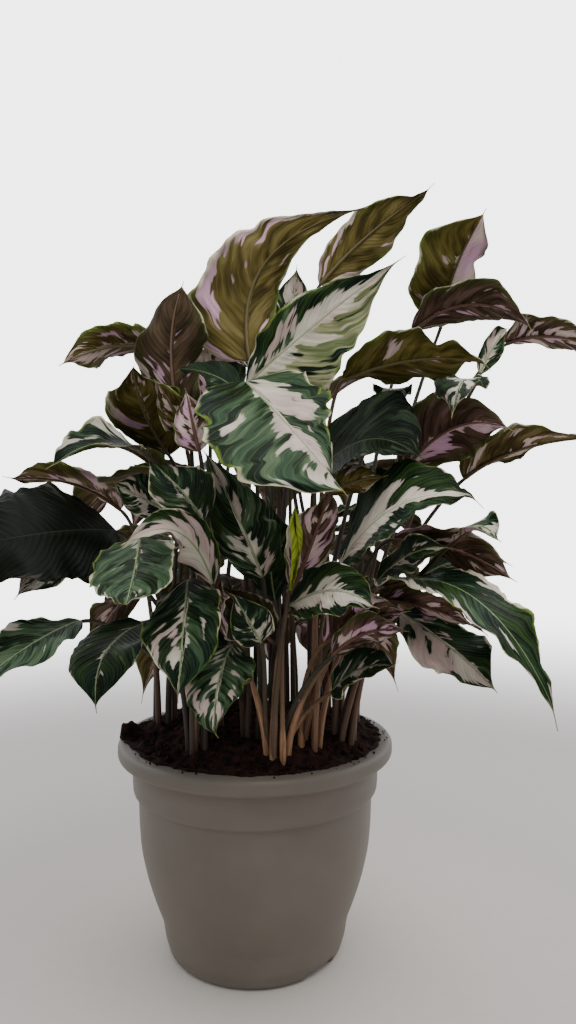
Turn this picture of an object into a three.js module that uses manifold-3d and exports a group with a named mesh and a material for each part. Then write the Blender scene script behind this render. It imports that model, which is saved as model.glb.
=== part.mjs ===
// A potted prayer plant with marbled leaves: a tapered plastic pot, its peat, and one solid for
// each leaf with its stalk. Millimetres, +Z up. The viewer stands at -Y and looks along +Y.
// The origin is under the middle of the pot, on the surface that it stands on.

import * as THREE from 'three';
import { mergeVertices } from 'three/addons/utils/BufferGeometryUtils.js';
import Module from 'manifold-3d';

const wasm = await Module();
wasm.setup();

const up = new THREE.Vector3(0, 0, 1);
const point = (list) => new THREE.Vector3(...list);

// Driving dimensions of the pot, radii and heights
const potHeight = 249;
const rimRadius = 164;
const rimUnderside = 230;
const rimEdge = 4;
const collarRadius = 147;
const collarFoot = 190;
const collarStep = 4;
const shoulderRadius = 139.6;
const bellyRadius = 136.7;
const bellyHeight = 128;
const waistRadius = 125.6;
const waistHeight = 79;
const footRadius = 112;
const footHeight = 41;
const baseRadius = 104.5;
const baseEdge = 6;
const floorHeight = 32;
const wall = 4;
const mouthRadius = 148;
const roundSteps = 32;

// The drain notches in the foot's edge
const notchCount = 2;
const notchWidth = 46;
const notchHeight = 10;
const notchDepth = 14;
const notchTurn = THREE.MathUtils.degToRad(-43);

// The peat: how far it keeps off the pot's wall, and how high it is heaped
const peatGap = 0.4;
const peatEdge = 246;
const peatHeap = 16;
const peatBump = 1.6;
const bumpLengths = [17, 14, 23];
const peatRings = [0.84, 0.66, 0.46, 0.24, 0];

// The crowns: where the stalks come out of the peat, each in a plain round hole
const holeRadius = 17;
const holeFloor = 238;
const holeHeight = 60;
const holeSides = 8;
const stalkRing = 11;
const crowns = {
  a: [28, -112],
  b: [0, -58],
  c: [62, -84],
  d: [64, -24],
  e: [-112, 8],
  f: [96, 70],
  g: [-52, -22],
  h: [-72, 72],
  i: [12, 22],
  j: [42, 82],
  k: [-14, 118],
  l: [-58, -92],
  m: [102, -58],
  n: [112, 8],
};

// Stalks and blades
const stalkFoot = 3.1;
const stalkNeck = 1.9;
const stalkSides = 4;
const stalkSteps = 6;
const neckReach = 34;
const neckShare = 0.2;
const riseShare = 0.5;
const tipHalf = 0.8;
const heelExtra = 0.4;
const bladeThickness = 0.9;
const bladeSteps = [0, 0.04, 0.15, 0.32, 0.5, 0.68, 0.85, 1];
const across = [1, 0.5, 0, -0.5, -1];
const coarseBladeSteps = [0, 0.06, 0.25, 0.5, 0.78, 1];
const coarseStalkSteps = 4;
const smallBladeSteps = [0, 0.1, 0.4, 0.75, 1];
const tipSharpness = 0.6;
const waveTurns = 4 * Math.PI;
const usual = { skew: 0, peak: 0.45, blunt: 0.7 };
const ringPlaces = 6;
const rootGap = 0.6;
const phaseStep = 1.7;
const clearance = 0.45;

// The leaves, placed by eye from the photo, the foremost first. heel, mid and tip are on the
// midrib, wide is the blade's width, and face is where its upper side looks. cup bends the margins
// up in degrees, wave is the height of the margins' waves, and cream is the cream share of the
// blade. skew makes one half wider, peak is where the blade is widest and blunt rounds its base,
// and second gives the other half its own peak and blunt.
const leaves = [
  // The front
  { crown: 'b', heel: [-7, -100, 658], mid: [40, -205, 597], tip: [86, -270, 535],
    wide: 148, face: [0.1, -0.75, 0.65], cup: 16, wave: 5, cream: 0.55,
    skew: -0.18, peak: 0.16, blunt: 0.8, second: { peak: 0.58, blunt: 0.3 } },
  { crown: 'c', heel: [91, -140, 460], mid: [139, -225, 522], tip: [200, -275, 528],
    wide: 96, face: [-0.2, -0.75, 0.65], cup: 16, wave: 4, cream: 0.65,
    skew: 0.15, peak: 0.4 },
  { crown: 'c', heel: [140, -130, 440], mid: [206, -232, 440], tip: [268, -270, 343],
    wide: 90, face: [0.3, -0.5, 0.85], cup: 18, wave: 4, cream: 0.3,
    peak: 0.32, blunt: 0.5 },
  { crown: 'a', heel: [157, -120, 412], mid: [195, -195, 386], tip: [224, -240, 358],
    wide: 72, face: [0, -0.7, 0.7], cup: 16, wave: 4, cream: 0.5 },
  { crown: 'l', heel: [-119, -110, 489], mid: [-104, -215, 460], tip: [-98, -280, 437],
    wide: 86, face: [-0.15, -0.55, 0.8], cup: 14, wave: 6, cream: 0.4, peak: 0.42, blunt: 0.5 },
  { crown: 'l', heel: [-64, -140, 447], mid: [-57, -225, 408], tip: [-58, -250, 355],
    wide: 76, face: [-0.1, -0.85, 0.5], cup: 16, wave: 4, cream: 0.7 },
  { crown: 'a', heel: [-19, -130, 379], mid: [-26, -215, 358], tip: [-26, -245, 319],
    wide: 66, face: [-0.1, -0.8, 0.55], cup: 16, wave: 4, cream: 0.6 },
  { crown: 'b', heel: [13, -150, 451], mid: [-8, -150, 504], tip: [-52, -90, 585],
    wide: 64, face: [0.1, -0.95, 0.3], cup: 16, wave: 3, cream: 0.6 },
  { crown: 'l', heel: [-112, -110, 399], mid: [-138, -180, 382], tip: [-139, -215, 336],
    wide: 88, face: [-0.3, -0.75, 0.55], cup: 16, wave: 4, cream: 0.25, skew: 0.12 },
  { crown: 'a', heel: [41, -140, 421], mid: [81, -220, 444], tip: [114, -260, 433],
    wide: 58, face: [0, -0.95, 0.35], cup: 18, wave: 4, cream: 0.6 },
  { crown: 'a', heel: [44, -140, 437], mid: [66, -175, 497], tip: [82, -205, 551],
    wide: 48, face: [-0.3, 0.9, 0.1], cup: 24, wave: 3, cream: 0.3 },
  { crown: 'b', heel: [-35, -170, 446], mid: [-64, -200, 497], tip: [-108, -235, 489],
    wide: 46, face: [-0.2, -0.8, 0.5], cup: 24, wave: 3, cream: 0.85 },
  // The top
  { crown: 'i', heel: [-6, -40, 692], mid: [13, -30, 811], tip: [130, -60, 862],
    wide: 106, face: [-0.2, 0.95, 0.3], cup: 26, wave: 8, cream: 0.3,
    skew: -0.26, peak: 0.24, blunt: 1 },
  { crown: 'b', heel: [-8, -90, 656], mid: [70, -110, 720], tip: [157, -120, 785],
    wide: 98, face: [0, -1, 0.05], cup: 12, wave: 4, cream: 0.8,
    skew: -0.3, peak: 0.42, blunt: 1, second: { peak: 0.25, blunt: 0.75 } },
  { crown: 'i', heel: [79, 20, 799], mid: [138, 20, 860], tip: [214, 10, 914],
    wide: 62, face: [0.2, 0.9, 0.4], cup: 24, wave: 3, cream: 0.3 },
  { crown: 'n', heel: [230, 20, 756], mid: [236, -25, 804], tip: [258, -70, 850],
    wide: 90, face: [-0.3, 0.9, 0.2], cup: 26, wave: 6, cream: 0.35,
    skew: -0.18, peak: 0.52, blunt: 0.38 },
  { crown: 'g', heel: [-77, -60, 592], mid: [-94, -60, 692], tip: [-82, -55, 774],
    wide: 80, face: [-0.2, 0.95, 0.1], cup: 30, wave: 6, cream: 0.3,
    peak: 0.62, blunt: 0.35 },
  // The right
  { crown: 'c', heel: [101, -90, 663], mid: [167, -155, 671], tip: [228, -200, 658],
    wide: 78, face: [0, 0.6, 0.8], cup: 22, wave: 3, cream: 0.4 },
  { crown: 'n', heel: [193, 20, 741], mid: [250, -40, 759], tip: [308, -80, 723],
    wide: 70, face: [0.1, 0.6, 0.8], cup: 22, wave: 3, cream: 0.3, peak: 0.58,
    blunt: 0.5, coarse: true },
  { crown: 'd', heel: [72, -100, 560], mid: [117, -172, 588], tip: [160, -222, 566],
    wide: 112, face: [0, -0.85, 0.5], cup: 16, wave: 3, cream: 0.2, skew: 0.15 },
  { crown: 'm', heel: [168, -70, 562], mid: [209, -130, 604], tip: [256, -170, 600],
    wide: 78, face: [0.1, 0.9, 0.4], cup: 20, wave: 3, cream: 0.3 },
  { crown: 'm', heel: [236, -70, 555], mid: [282, -120, 583], tip: [350, -150, 592],
    wide: 46, face: [0, 0.7, 0.7], cup: 30, wave: 3, cream: 0.3, skew: -0.5, coarse: true },
  { crown: 'n', heel: [301, -10, 720], mid: [335, -65, 716], tip: [376, -100, 692],
    wide: 60, face: [0, 0.6, 0.7], cup: 20, wave: 3, cream: 0.4, coarse: true },
  { crown: 'm', heel: [249, -100, 668], mid: [262, -98, 694], tip: [279, -95, 720],
    wide: 26, face: [0, -0.9, 0.3], cup: 26, wave: 3, cream: 0.7, coarse: true },
  { crown: 'd', heel: [236, -87, 661], mid: [218, -129, 651], tip: [196, -193, 610],
    wide: 54, face: [-0.2, -0.7, 0.7], cup: 18, wave: 3, cream: 0.4, coarse: true },
  { crown: 'd', heel: [150, -62, 650], mid: [150, -126, 645], tip: [143, -165, 607],
    wide: 42, face: [0, -0.8, 0.6], cup: 22, wave: 2, cream: 0.7, coarse: true },
  { crown: 'm', heel: [204, -192, 490], mid: [218, -226, 503], tip: [232, -244, 490],
    wide: 42, face: [0, -0.7, 0.7], cup: 18, wave: 2, cream: 0.5, coarse: true },
  { crown: 'm', heel: [152, -150, 489], mid: [210, -185, 479], tip: [257, -215, 451],
    wide: 54, face: [-0.2, 0.8, 0.5], cup: 20, wave: 3, cream: 0.3, coarse: true },
  { crown: 'm', heel: [144, -60, 434], mid: [181, -105, 462], tip: [230, -140, 466],
    wide: 66, face: [0, -0.6, 0.8], cup: 18, wave: 3, cream: 0.25, coarse: true },
  { crown: 'c', heel: [137, -110, 425], mid: [177, -175, 424], tip: [221, -215, 406],
    wide: 46, face: [-0.1, 0.85, 0.5], cup: 20, wave: 3, cream: 0.3, coarse: true },
  { crown: 'c', heel: [78, -100, 379], mid: [117, -140, 409], tip: [152, -170, 420],
    wide: 58, face: [0, 0.8, 0.5], cup: 20, wave: 3, cream: 0.3, coarse: true },
  { crown: 'a', heel: [85, -125, 330], mid: [112, -165, 360], tip: [142, -195, 370],
    wide: 62, face: [0, -0.7, 0.7], cup: 18, wave: 3, cream: 0.25, coarse: true },
  // The left
  { crown: 'e', heel: [-124, 10, 720], mid: [-166, -50, 707], tip: [-205, -100, 677],
    wide: 62, face: [0.1, 0.75, 0.6], cup: 24, wave: 3, cream: 0.3, coarse: true },
  { crown: 'g', heel: [-96, -40, 582], mid: [-113, -100, 622], tip: [-113, -160, 661],
    wide: 88, face: [-0.1, 0.6, 0.75], cup: 30, wave: 3, cream: 0.5 },
  { crown: 'g', heel: [-45, -140, 579], mid: [-51, -142, 606], tip: [-57, -145, 640],
    wide: 44, face: [-0.6, 0.7, 0.2], cup: 34, wave: 2, cream: 0.8, coarse: true },
  { crown: 'e', heel: [-96, -50, 552], mid: [-146, -115, 589], tip: [-197, -160, 562],
    wide: 94, face: [0, -0.45, 0.9], cup: 36, wave: 3, cream: 0.4 },
  { crown: 'e', heel: [-164, 0, 521], mid: [-212, -45, 551], tip: [-270, -80, 553],
    wide: 80, face: [0, 0.1, 1], cup: 20, wave: 3, cream: 0.4, coarse: true },
  { crown: 'e', heel: [-152, -80, 497], mid: [-214, -145, 495], tip: [-300, -190, 476],
    wide: 138, face: [-0.1, -0.85, 0.5], cup: -14, wave: 5, cream: 0.15,
    skew: -0.14, blunt: 0.5 },
  { crown: 'l', heel: [-180, -100, 463], mid: [-207, -140, 446], tip: [-233, -170, 422],
    wide: 62, face: [-0.3, -0.6, 0.7], cup: 20, wave: 3, cream: 0.5, coarse: true },
  { crown: 'l', heel: [-186, -100, 400], mid: [-226, -150, 380], tip: [-275, -190, 338],
    wide: 70, face: [-0.2, -0.6, 0.75], cup: 18, wave: 3, cream: 0.35 },
  { crown: 'g', heel: [-45, -150, 519], mid: [-71, -135, 552], tip: [-110, -100, 584],
    wide: 62, face: [-0.1, -0.8, 0.5], cup: 18, wave: 3, cream: 0.5, coarse: true },
  { crown: 'e', heel: [-91, -70, 517], mid: [-119, -100, 533], tip: [-144, -125, 548],
    wide: 52, face: [0, -0.9, 0.4], cup: 20, wave: 3, cream: 0.45, coarse: true },
  // Between the others
  { crown: 'i', heel: [30, 40, 726], mid: [44, 45, 775], tip: [50, 40, 826],
    wide: 62, face: [0.5, -0.8, 0.2], cup: 20, wave: 3, cream: 0.6, coarse: true },
  { crown: 'g', heel: [-15, -85, 650], mid: [-45, -95, 668], tip: [-80, -105, 672],
    wide: 60, face: [0, -0.7, 0.7], cup: 16, wave: 2, cream: 0.1, coarse: true },
  { crown: 'i', heel: [24, -60, 417], mid: [18, -68, 475], tip: [19, -62, 531],
    wide: 62, face: [0.3, -0.9, 0.2], cup: 20, wave: 3, cream: 0.15, coarse: true },
];

// Smaller leaves that share the root of one above, its host, by its place in the table
const partners = [
  { host: 41, heel: [-20, -66, 424], mid: [-26, -92, 396], tip: [-14, -108, 358],
    wide: 58, face: [0.1, -0.9, 0.4], cup: 18, wave: 3, cream: 0.1, small: true },
  { host: 17, heel: [-55, -30, 651], mid: [-53, -32, 684], tip: [-38, -30, 722],
    wide: 52, face: [-0.2, 0.95, 0], cup: 24, wave: 2, cream: 0.4, small: true },
  { host: 12, heel: [-28, -150, 453], mid: [-32, -168, 424], tip: [-17, -166, 394],
    wide: 36, face: [0.6, 0.6, 0.4], cup: 30, wave: 3, cream: 0.4, small: true },
  { host: 11, heel: [41, -168, 440], mid: [46, -205, 485], tip: [45, -228, 523],
    wide: 36, face: [0.2, -1, 0], cup: 150, wave: 0, cream: 0.3, peak: 0.66, small: true },
  { host: 20, heel: [82, -158, 540], mid: [103, -176, 552], tip: [132, -184, 556],
    wide: 30, face: [0.1, 0.9, 0.3], cup: 20, wave: 2, cream: 0.3, small: true },
  { host: 8, heel: [22, -128, 392], mid: [-2, -142, 420], tip: [-28, -150, 452],
    wide: 54, face: [0.1, 0.95, 0.2], cup: 20, wave: 3, cream: 0.1, small: true },
  { host: 6, heel: [-38, -150, 424], mid: [-55, -175, 457], tip: [-75, -190, 478],
    wide: 34, face: [0.2, 0.9, 0.3], cup: 30, wave: 3, cream: 0.2, small: true },
  { host: 7, heel: [12, -160, 362], mid: [2, -180, 386], tip: [-14, -188, 414],
    wide: 42, face: [0.1, -0.95, 0.2], cup: 20, wave: 3, cream: 0.3, small: true },
  { host: 32, heel: [84, -140, 372], mid: [117, -160, 398], tip: [152, -178, 402],
    wide: 38, face: [0.1, 0.9, 0.4], cup: 20, wave: 3, cream: 0.3, small: true },
  { host: 42, heel: [-71, -50, 508], mid: [-94, -65, 534], tip: [-116, -80, 550],
    wide: 40, face: [0.2, 0.95, 0.2], cup: 20, wave: 3, cream: 0.2, small: true },
  { host: 30, heel: [134, -115, 444], mid: [163, -150, 474], tip: [198, -170, 482],
    wide: 42, face: [0, -0.8, 0.6], cup: 20, wave: 3, cream: 0.2, small: true },
  { host: 34, heel: [-92, -95, 592], mid: [-103, -125, 620], tip: [-118, -150, 650],
    wide: 38, face: [-0.1, 0.9, 0.4], cup: 26, wave: 3, cream: 0.4, small: true },
];

// The sides and the back of the bush, by a rule: sheaves of two leaves from one root, with the
// lower and the upper leaf of each sheaf at one of two heights in turn. fall lowers the leaves
// that stand out to the sides.
const sheaves = { count: 13, from: 12, to: 160, sway: 24, arch: 34, split: 2.6 };
const sheafCrowns = ['f', 'f', 'f', 'f', 'j', 'j', 'j', 'k', 'k', 'h', 'h', 'h', 'h'];
const lowerTiers = [
  { height: 356, out: 108, reach: 132, drop: -112, wide: 104, fall: -115 },
  { height: 446, out: 108, reach: 142, drop: -112, wide: 108, fall: -60 },
];
const upperTiers = [
  { height: 590, out: 104, reach: 166, drop: -84, wide: 108, fall: 80 },
  { height: 715, out: 56, reach: 160, drop: 78, wide: 98, fall: 150 },
];

// Small shifts of a blade, and side steps of a stalk, that are tried in turn until it is clear
const shiftSteps = [8, 16, 24, 34, 46, 60];
const shiftWays = [
  [0, 1, 0], [0, -1, 0], [0, 0, 1], [0, 0, -1], [1, 0, 0], [-1, 0, 0],
  [0, 0.7, 0.7], [0, 0.7, -0.7], [0, -0.7, 0.7], [0, -0.7, -0.7], [0.7, 0.7, 0], [-0.7, 0.7, 0],
];
const bendSteps = [12, 24, 38, 54, 72, 92];
const bendTurns = 8;

const colours = { pot: 0x75695e, peat: 0x20160f, green: 0x3b5a35, cream: 0xd9d2bd };

// A closed mesh of points and triangles as a geometry, and as a solid that can be cut or joined
function geometryOf(points, triangles) {
  const geometry = new THREE.BufferGeometry();
  const numbers = points.flatMap((p) => p.toArray());
  geometry.setAttribute('position', new THREE.Float32BufferAttribute(numbers, 3));
  geometry.setIndex(triangles.flat());
  return geometry;
}

function solidOf(geometry) {
  const vertProperties = new Float32Array(geometry.attributes.position.array);
  const triVerts = new Uint32Array(geometry.index.array);
  return new wasm.Manifold(new wasm.Mesh({ numProp: 3, vertProperties, triVerts }));
}

function weldedSolid(geometry) {
  geometry.deleteAttribute('normal');
  geometry.deleteAttribute('uv');
  return solidOf(mergeVertices(geometry, 1e-4));
}

function geometryFrom(solid) {
  const mesh = solid.getMesh();
  const geometry = new THREE.BufferGeometry();
  geometry.setAttribute('position', new THREE.Float32BufferAttribute(mesh.vertProperties, 3));
  geometry.setIndex(Array.from(mesh.triVerts));
  return geometry;
}

// A profile of radius and height, turned round the Z axis
function turned(profile) {
  const geometry = new THREE.LatheGeometry(profile, roundSteps);
  geometry.rotateX(Math.PI / 2);
  return geometry;
}

// The pot: a foot, a belly that swells above it, a collar and a rolled rim, open at the top
function potSolid() {
  const outline = [
    [0, 0],
    [baseRadius - baseEdge, 0],
    [baseRadius, baseEdge],
    [footRadius, footHeight],
    [waistRadius, waistHeight],
    [bellyRadius, bellyHeight],
    [shoulderRadius, collarFoot - collarStep],
    [collarRadius - 1, collarFoot],
    [collarRadius, rimUnderside],
    [rimRadius - rimEdge, rimUnderside],
    [rimRadius, rimUnderside + rimEdge],
    [rimRadius - 1, potHeight - rimEdge],
    [rimRadius - 1 - rimEdge, potHeight],
    [mouthRadius, potHeight],
  ].map(([radius, height]) => new THREE.Vector2(radius, height));
  outline.push(...innerWall());
  const pot = weldedSolid(turned(outline));
  return drainNotches().reduce((left, notch) => left.subtract(notch), pot);
}

// The inner wall from the mouth down to the middle of the floor
function innerWall() {
  return [
    new THREE.Vector2(mouthRadius - wall, potHeight - wall),
    new THREE.Vector2(collarRadius - wall, rimUnderside - 10),
    new THREE.Vector2(bellyRadius - wall, bellyHeight),
    new THREE.Vector2(footRadius - wall, footHeight + wall),
    new THREE.Vector2(baseRadius - wall, floorHeight),
    new THREE.Vector2(0, floorHeight),
  ];
}

function drainNotches() {
  const notches = [];
  for (let k = 0; k < notchCount; k += 1) {
    const turn = notchTurn + (k * 2 * Math.PI) / notchCount;
    const box = new THREE.BoxGeometry(2 * notchDepth, notchWidth, 2 * notchHeight);
    box.translate(baseRadius, 0, 0);
    box.rotateZ(turn);
    notches.push(weldedSolid(box));
  }
  return notches;
}

// The peat's surface, heaped in the middle, with low bumps
function peatTop(x, y) {
  const out = Math.min(1, Math.hypot(x, y) / (mouthRadius - wall));
  const [first, second, third] = bumpLengths;
  const bumps = Math.sin(x / first + 1) * Math.cos(y / second) + Math.sin((x + y) / third);
  return peatEdge + peatHeap * (1 - out ** 3) + peatBump * bumps * (1 - out ** 6);
}

function peatSolid() {
  const inner = innerWall().reverse();
  const profile = inner.map((p) => new THREE.Vector2(Math.max(0, p.x - peatGap), p.y + peatGap));
  profile[profile.length - 1].y = peatEdge;
  for (const share of peatRings) {
    profile.push(new THREE.Vector2(share * mouthRadius, peatEdge + 1));
  }
  const geometry = turned(profile);
  const spots = geometry.attributes.position;
  for (let k = 0; k < spots.count; k += 1) {
    if (spots.getZ(k) > peatEdge) {
      spots.setZ(k, peatTop(spots.getX(k), spots.getY(k)));
    }
  }
  const holes = Object.values(crowns).map(([x, y]) => {
    const hole = new THREE.CylinderGeometry(holeRadius, holeRadius, holeHeight, holeSides);
    hole.rotateX(Math.PI / 2);
    hole.translate(x, y, holeFloor + holeHeight / 2);
    return weldedSolid(hole);
  });
  return holes.reduce((left, hole) => left.subtract(hole), weldedSolid(geometry));
}

// How wide a half of the blade is along its midrib, as a share of its greatest width. The tip is
// drawn out to a point.
function bladeShare(leaf, t, share) {
  const { peak, blunt } = share < 0 ? leaf.second : leaf;
  const swell = Math.sin(Math.PI * t ** (Math.log(0.5) / Math.log(peak)));
  return Math.max(0, swell) ** (blunt + tipSharpness * t * t);
}

// The midrib, a parabola through heel, mid and tip
function midribOf(leaf) {
  const ends = leaf.heel.clone().add(leaf.tip).multiplyScalar(0.5);
  const control = leaf.mid.clone().multiplyScalar(2).sub(ends);
  return new THREE.QuadraticBezierCurve3(leaf.heel, control, leaf.tip);
}

// A point of the blade at t along the midrib and at a share of the half width. Each half bends up
// in an arc of cup radians, the margin waves, and lift moves the point out of the upper side.
function bladePoint(leaf, t, share, lift) {
  const along = leaf.midrib.getTangent(t);
  const side = leaf.face.clone().cross(along).normalize();
  const out = along.clone().cross(side);
  const least = THREE.MathUtils.lerp(stalkNeck + heelExtra, tipHalf, t);
  const width = leaf.wide * (1 + leaf.skew * Math.sign(share));
  const half = Math.max(least, bladeShare(leaf, t, share) * width * 0.5) + leaf.grow;
  const bend = leaf.cup * Math.abs(share);
  const ripple = Math.sin(waveTurns * t + leaf.phase + share) * Math.sin(Math.PI * t);
  const rise = (half * (1 - Math.cos(bend))) / leaf.cup + leaf.wave * share ** 2 * ripple;
  const reach = (half * Math.sin(bend)) / leaf.cup - lift * Math.sin(bend);
  const spot = leaf.midrib.getPoint(t).addScaledVector(side, Math.sign(share) * reach);
  return spot.addScaledVector(out, rise + lift * Math.cos(bend));
}

// The loops of the blade: over the upper side and back along the underside
function bladeLoops(leaf) {
  const lift = bladeThickness / 2 + leaf.grow;
  return leaf.bladeSteps.map((t) => {
    const over = across.map((share) => bladePoint(leaf, t, share, lift));
    const under = across.map((share) => bladePoint(leaf, t, share, -lift));
    return [...over, ...under.reverse()];
  });
}

// The stalk: straight up out of its hole, bent aside a little, and into the line of the midrib
function stalkCurve(leaf) {
  const reach = leaf.heel.distanceTo(leaf.root);
  const rising = leaf.root.clone().addScaledVector(up, reach * riseShare).add(leaf.bend);
  const along = leaf.midrib.getTangent(0);
  const neck = leaf.heel.clone().addScaledVector(along, -Math.min(neckReach, reach * neckShare));
  return new THREE.CubicBezierCurve3(leaf.root, rising, neck, leaf.heel);
}

// The loops of the stalk, worked out from the heel down so that its sides meet the blade's
function stalkLoops(leaf) {
  const curve = stalkCurve(leaf);
  const side = leaf.face.clone().cross(leaf.midrib.getTangent(0)).normalize();
  const loops = [];
  for (let k = leaf.stalkSteps; k >= 0; k -= 1) {
    const t = k / leaf.stalkSteps;
    const along = curve.getTangent(t);
    side.addScaledVector(along, -side.dot(along)).normalize();
    const out = along.clone().cross(side);
    const radius = THREE.MathUtils.lerp(stalkFoot, stalkNeck, t) + leaf.grow;
    const loop = [];
    for (let n = 0; n < stalkSides; n += 1) {
      const turn = ((2 * n + 1) * Math.PI) / stalkSides;
      const spot = curve.getPoint(t).addScaledVector(side, radius * Math.cos(turn));
      loop.push(spot.addScaledVector(out, radius * Math.sin(turn)));
    }
    loops.unshift(loop);
  }
  return loops;
}

// A band of triangles between two loops. Where they are alike, both faces of a blade are split
// along the same diagonals. Where they aren't, each loop is walked in step with the other.
function band(first, firstCount, second, secondCount) {
  const triangles = [];
  if (firstCount === secondCount) {
    for (let n = 0; n < firstCount; n += 1) {
      const [a, b] = [first + n, first + ((n + 1) % firstCount)];
      const [c, d] = [second + n, second + ((n + 1) % firstCount)];
      const upper = n < across.length;
      triangles.push(...(upper ? [[a, b, c], [b, d, c]] : [[a, b, d], [a, d, c]]));
    }
    return triangles;
  }
  let [m, n] = [0, 0];
  while (m < firstCount || n < secondCount) {
    const [a, c] = [first + (m % firstCount), second + (n % secondCount)];
    if ((m + 1) * secondCount <= (n + 1) * firstCount) {
      m += 1;
      triangles.push([a, first + (m % firstCount), c]);
    } else {
      n += 1;
      triangles.push([a, second + (n % secondCount), c]);
    }
  }
  return triangles;
}

// A closed skin over a row of loops: bands between them, and a fan over each end
function skinOf(loops) {
  const triangles = [];
  const last = loops.length - 1;
  let start = 0;
  for (let n = 1; n + 1 < loops[0].length; n += 1) {
    triangles.push([0, n + 1, n]);
  }
  for (let k = 0; k < last; k += 1) {
    const next = start + loops[k].length;
    triangles.push(...band(start, loops[k].length, next, loops[k + 1].length));
    start = next;
  }
  for (let n = 1; n + 1 < loops[last].length; n += 1) {
    triangles.push([start, start + n, start + n + 1]);
  }
  return geometryOf(loops.flat(), triangles);
}

// A row of the table made into a leaf, with its blade shifted and its stalk bent aside
function leafFrom(row, shift, bend, grow) {
  const leaf = { ...row, bend, grow };
  leaf.heel = row.heel.clone().add(shift);
  leaf.mid = row.mid.clone().add(shift);
  leaf.tip = row.tip.clone().add(shift);
  leaf.midrib = midribOf(leaf);
  return leaf;
}

// The shifts and bends that are tried, smallest first
function shiftsToTry() {
  const shifts = [new THREE.Vector3()];
  for (const step of shiftSteps) {
    shifts.push(...shiftWays.map((way) => point(way).multiplyScalar(step)));
  }
  return shifts;
}

function bendsToTry() {
  const bends = [new THREE.Vector3()];
  for (const step of bendSteps) {
    for (let k = 0; k < bendTurns; k += 1) {
      const turn = (2 * Math.PI * k) / bendTurns;
      bends.push(new THREE.Vector3(step * Math.cos(turn), step * Math.sin(turn), 0));
    }
  }
  return bends;
}

// Whether a solid keeps off everything that stands already
function isClear(solid, standing) {
  const box = solid.boundingBox();
  return standing.every((other) => {
    const { min, max } = other.box;
    if ([0, 1, 2].some((k) => box.min[k] > max[k] || box.max[k] < min[k])) {
      return true;
    }
    const shared = solid.intersect(other.solid);
    const empty = shared.isEmpty();
    shared.delete();
    return empty;
  });
}

// The first shift and bend that keep the leaf clear, for its blade and then for its stalk
function placed(row, standing) {
  const still = new THREE.Vector3();
  for (const shift of shiftsToTry()) {
    const blade = solidOf(skinOf(bladeLoops(leafFrom(row, shift, still, clearance))));
    const bladeClear = isClear(blade, standing);
    blade.delete();
    if (!bladeClear) {
      continue;
    }
    for (const bend of bendsToTry()) {
      const stalk = solidOf(skinOf(stalkLoops(leafFrom(row, shift, bend, clearance))));
      const stalkClear = isClear(stalk, standing);
      stalk.delete();
      if (stalkClear) {
        return leafFrom(row, shift, bend, 0);
      }
    }
  }
  throw new Error(`no clear place for the leaf of row ${row.number}`);
}

function stand(standing, geometry, label) {
  const solid = solidOf(geometry);
  standing.push({ solid, box: solid.boundingBox(), label });
}

// A leaf of a sheaf, as a row like those of the table
function tierRow(tier, number, host) {
  const share = number / (sheaves.count - 1);
  const turn = THREE.MathUtils.degToRad(sheaves.from + (sheaves.to - sheaves.from) * share);
  const sway = Math.sin(7 * number + tier.height);
  const ray = new THREE.Vector3(Math.cos(turn), Math.sin(turn), 0);
  const heel = ray.clone().multiplyScalar(tier.out);
  heel.addScaledVector(up, tier.height + sheaves.sway * sway - tier.fall * (1 - Math.sin(turn)));
  const tip = heel.clone().addScaledVector(ray, tier.reach).addScaledVector(up, tier.drop);
  const mid = heel.clone().lerp(tip, 0.5).addScaledVector(up, sheaves.arch);
  return {
    crown: sheafCrowns[number], heel: heel.toArray(), mid: mid.toArray(), tip: tip.toArray(),
    wide: tier.wide, face: [0.6 * ray.x, 0.6 * ray.y, 0.8], cup: 20, wave: 4, cream: 0.35,
    coarse: true, host,
  };
}

function sheafRows() {
  const rows = [];
  for (let k = 0; k < sheaves.count; k += 1) {
    const node = leaves.length + k + 1;
    rows.push(tierRow(lowerTiers[k % 2], k), tierRow(upperTiers[k % 2], k, node));
  }
  return rows;
}

// The free place of a crown's ring that faces a heel the most, in turns of the ring
function ringPlace(taken, toward) {
  const nearest = Math.round((toward / (2 * Math.PI)) * ringPlaces);
  const steps = [0, 1, -1, 2, -2, 3];
  const places = steps.map((step) => (nearest + step + 2 * ringPlaces) % ringPlaces);
  const place = places.find((n) => !taken.includes(n));
  taken.push(place);
  return (2 * Math.PI * place) / ringPlaces;
}

// Every leaf's row with its root. A partner's root is a small step inwards from its host's.
function rootedRows() {
  const taken = {};
  const places = [];
  return [...leaves, ...sheafRows(), ...partners].map((row, index) => {
    if (!row.host) {
      const [x, y] = crowns[row.crown];
      const toward = Math.atan2(row.heel[1] - y, row.heel[0] - x);
      const turn = ringPlace((taken[row.crown] ??= []), toward);
      places.push({ start: new THREE.Vector3(x, y, holeFloor + rootGap), turn });
    }
    const { start, turn } = row.host ? places[row.host - 1] : places.at(-1);
    const step = row.host ? stalkRing - sheaves.split : stalkRing;
    const ring = new THREE.Vector3(step * Math.cos(turn), step * Math.sin(turn), 0);
    const root = start.clone().add(ring);
    const form = { ...usual, ...row };
    return {
      ...form,
      second: form.second ?? form,
      root,
      heel: point(row.heel),
      mid: point(row.mid),
      tip: point(row.tip),
      face: point(row.face),
      cup: THREE.MathUtils.degToRad(row.cup),
      phase: phaseStep * index,
      number: index + 1,
      bladeSteps: row.small ? smallBladeSteps : row.coarse ? coarseBladeSteps : bladeSteps,
      stalkSteps: row.coarse || row.small ? coarseStalkSteps : stalkSteps,
    };
  });
}

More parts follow.
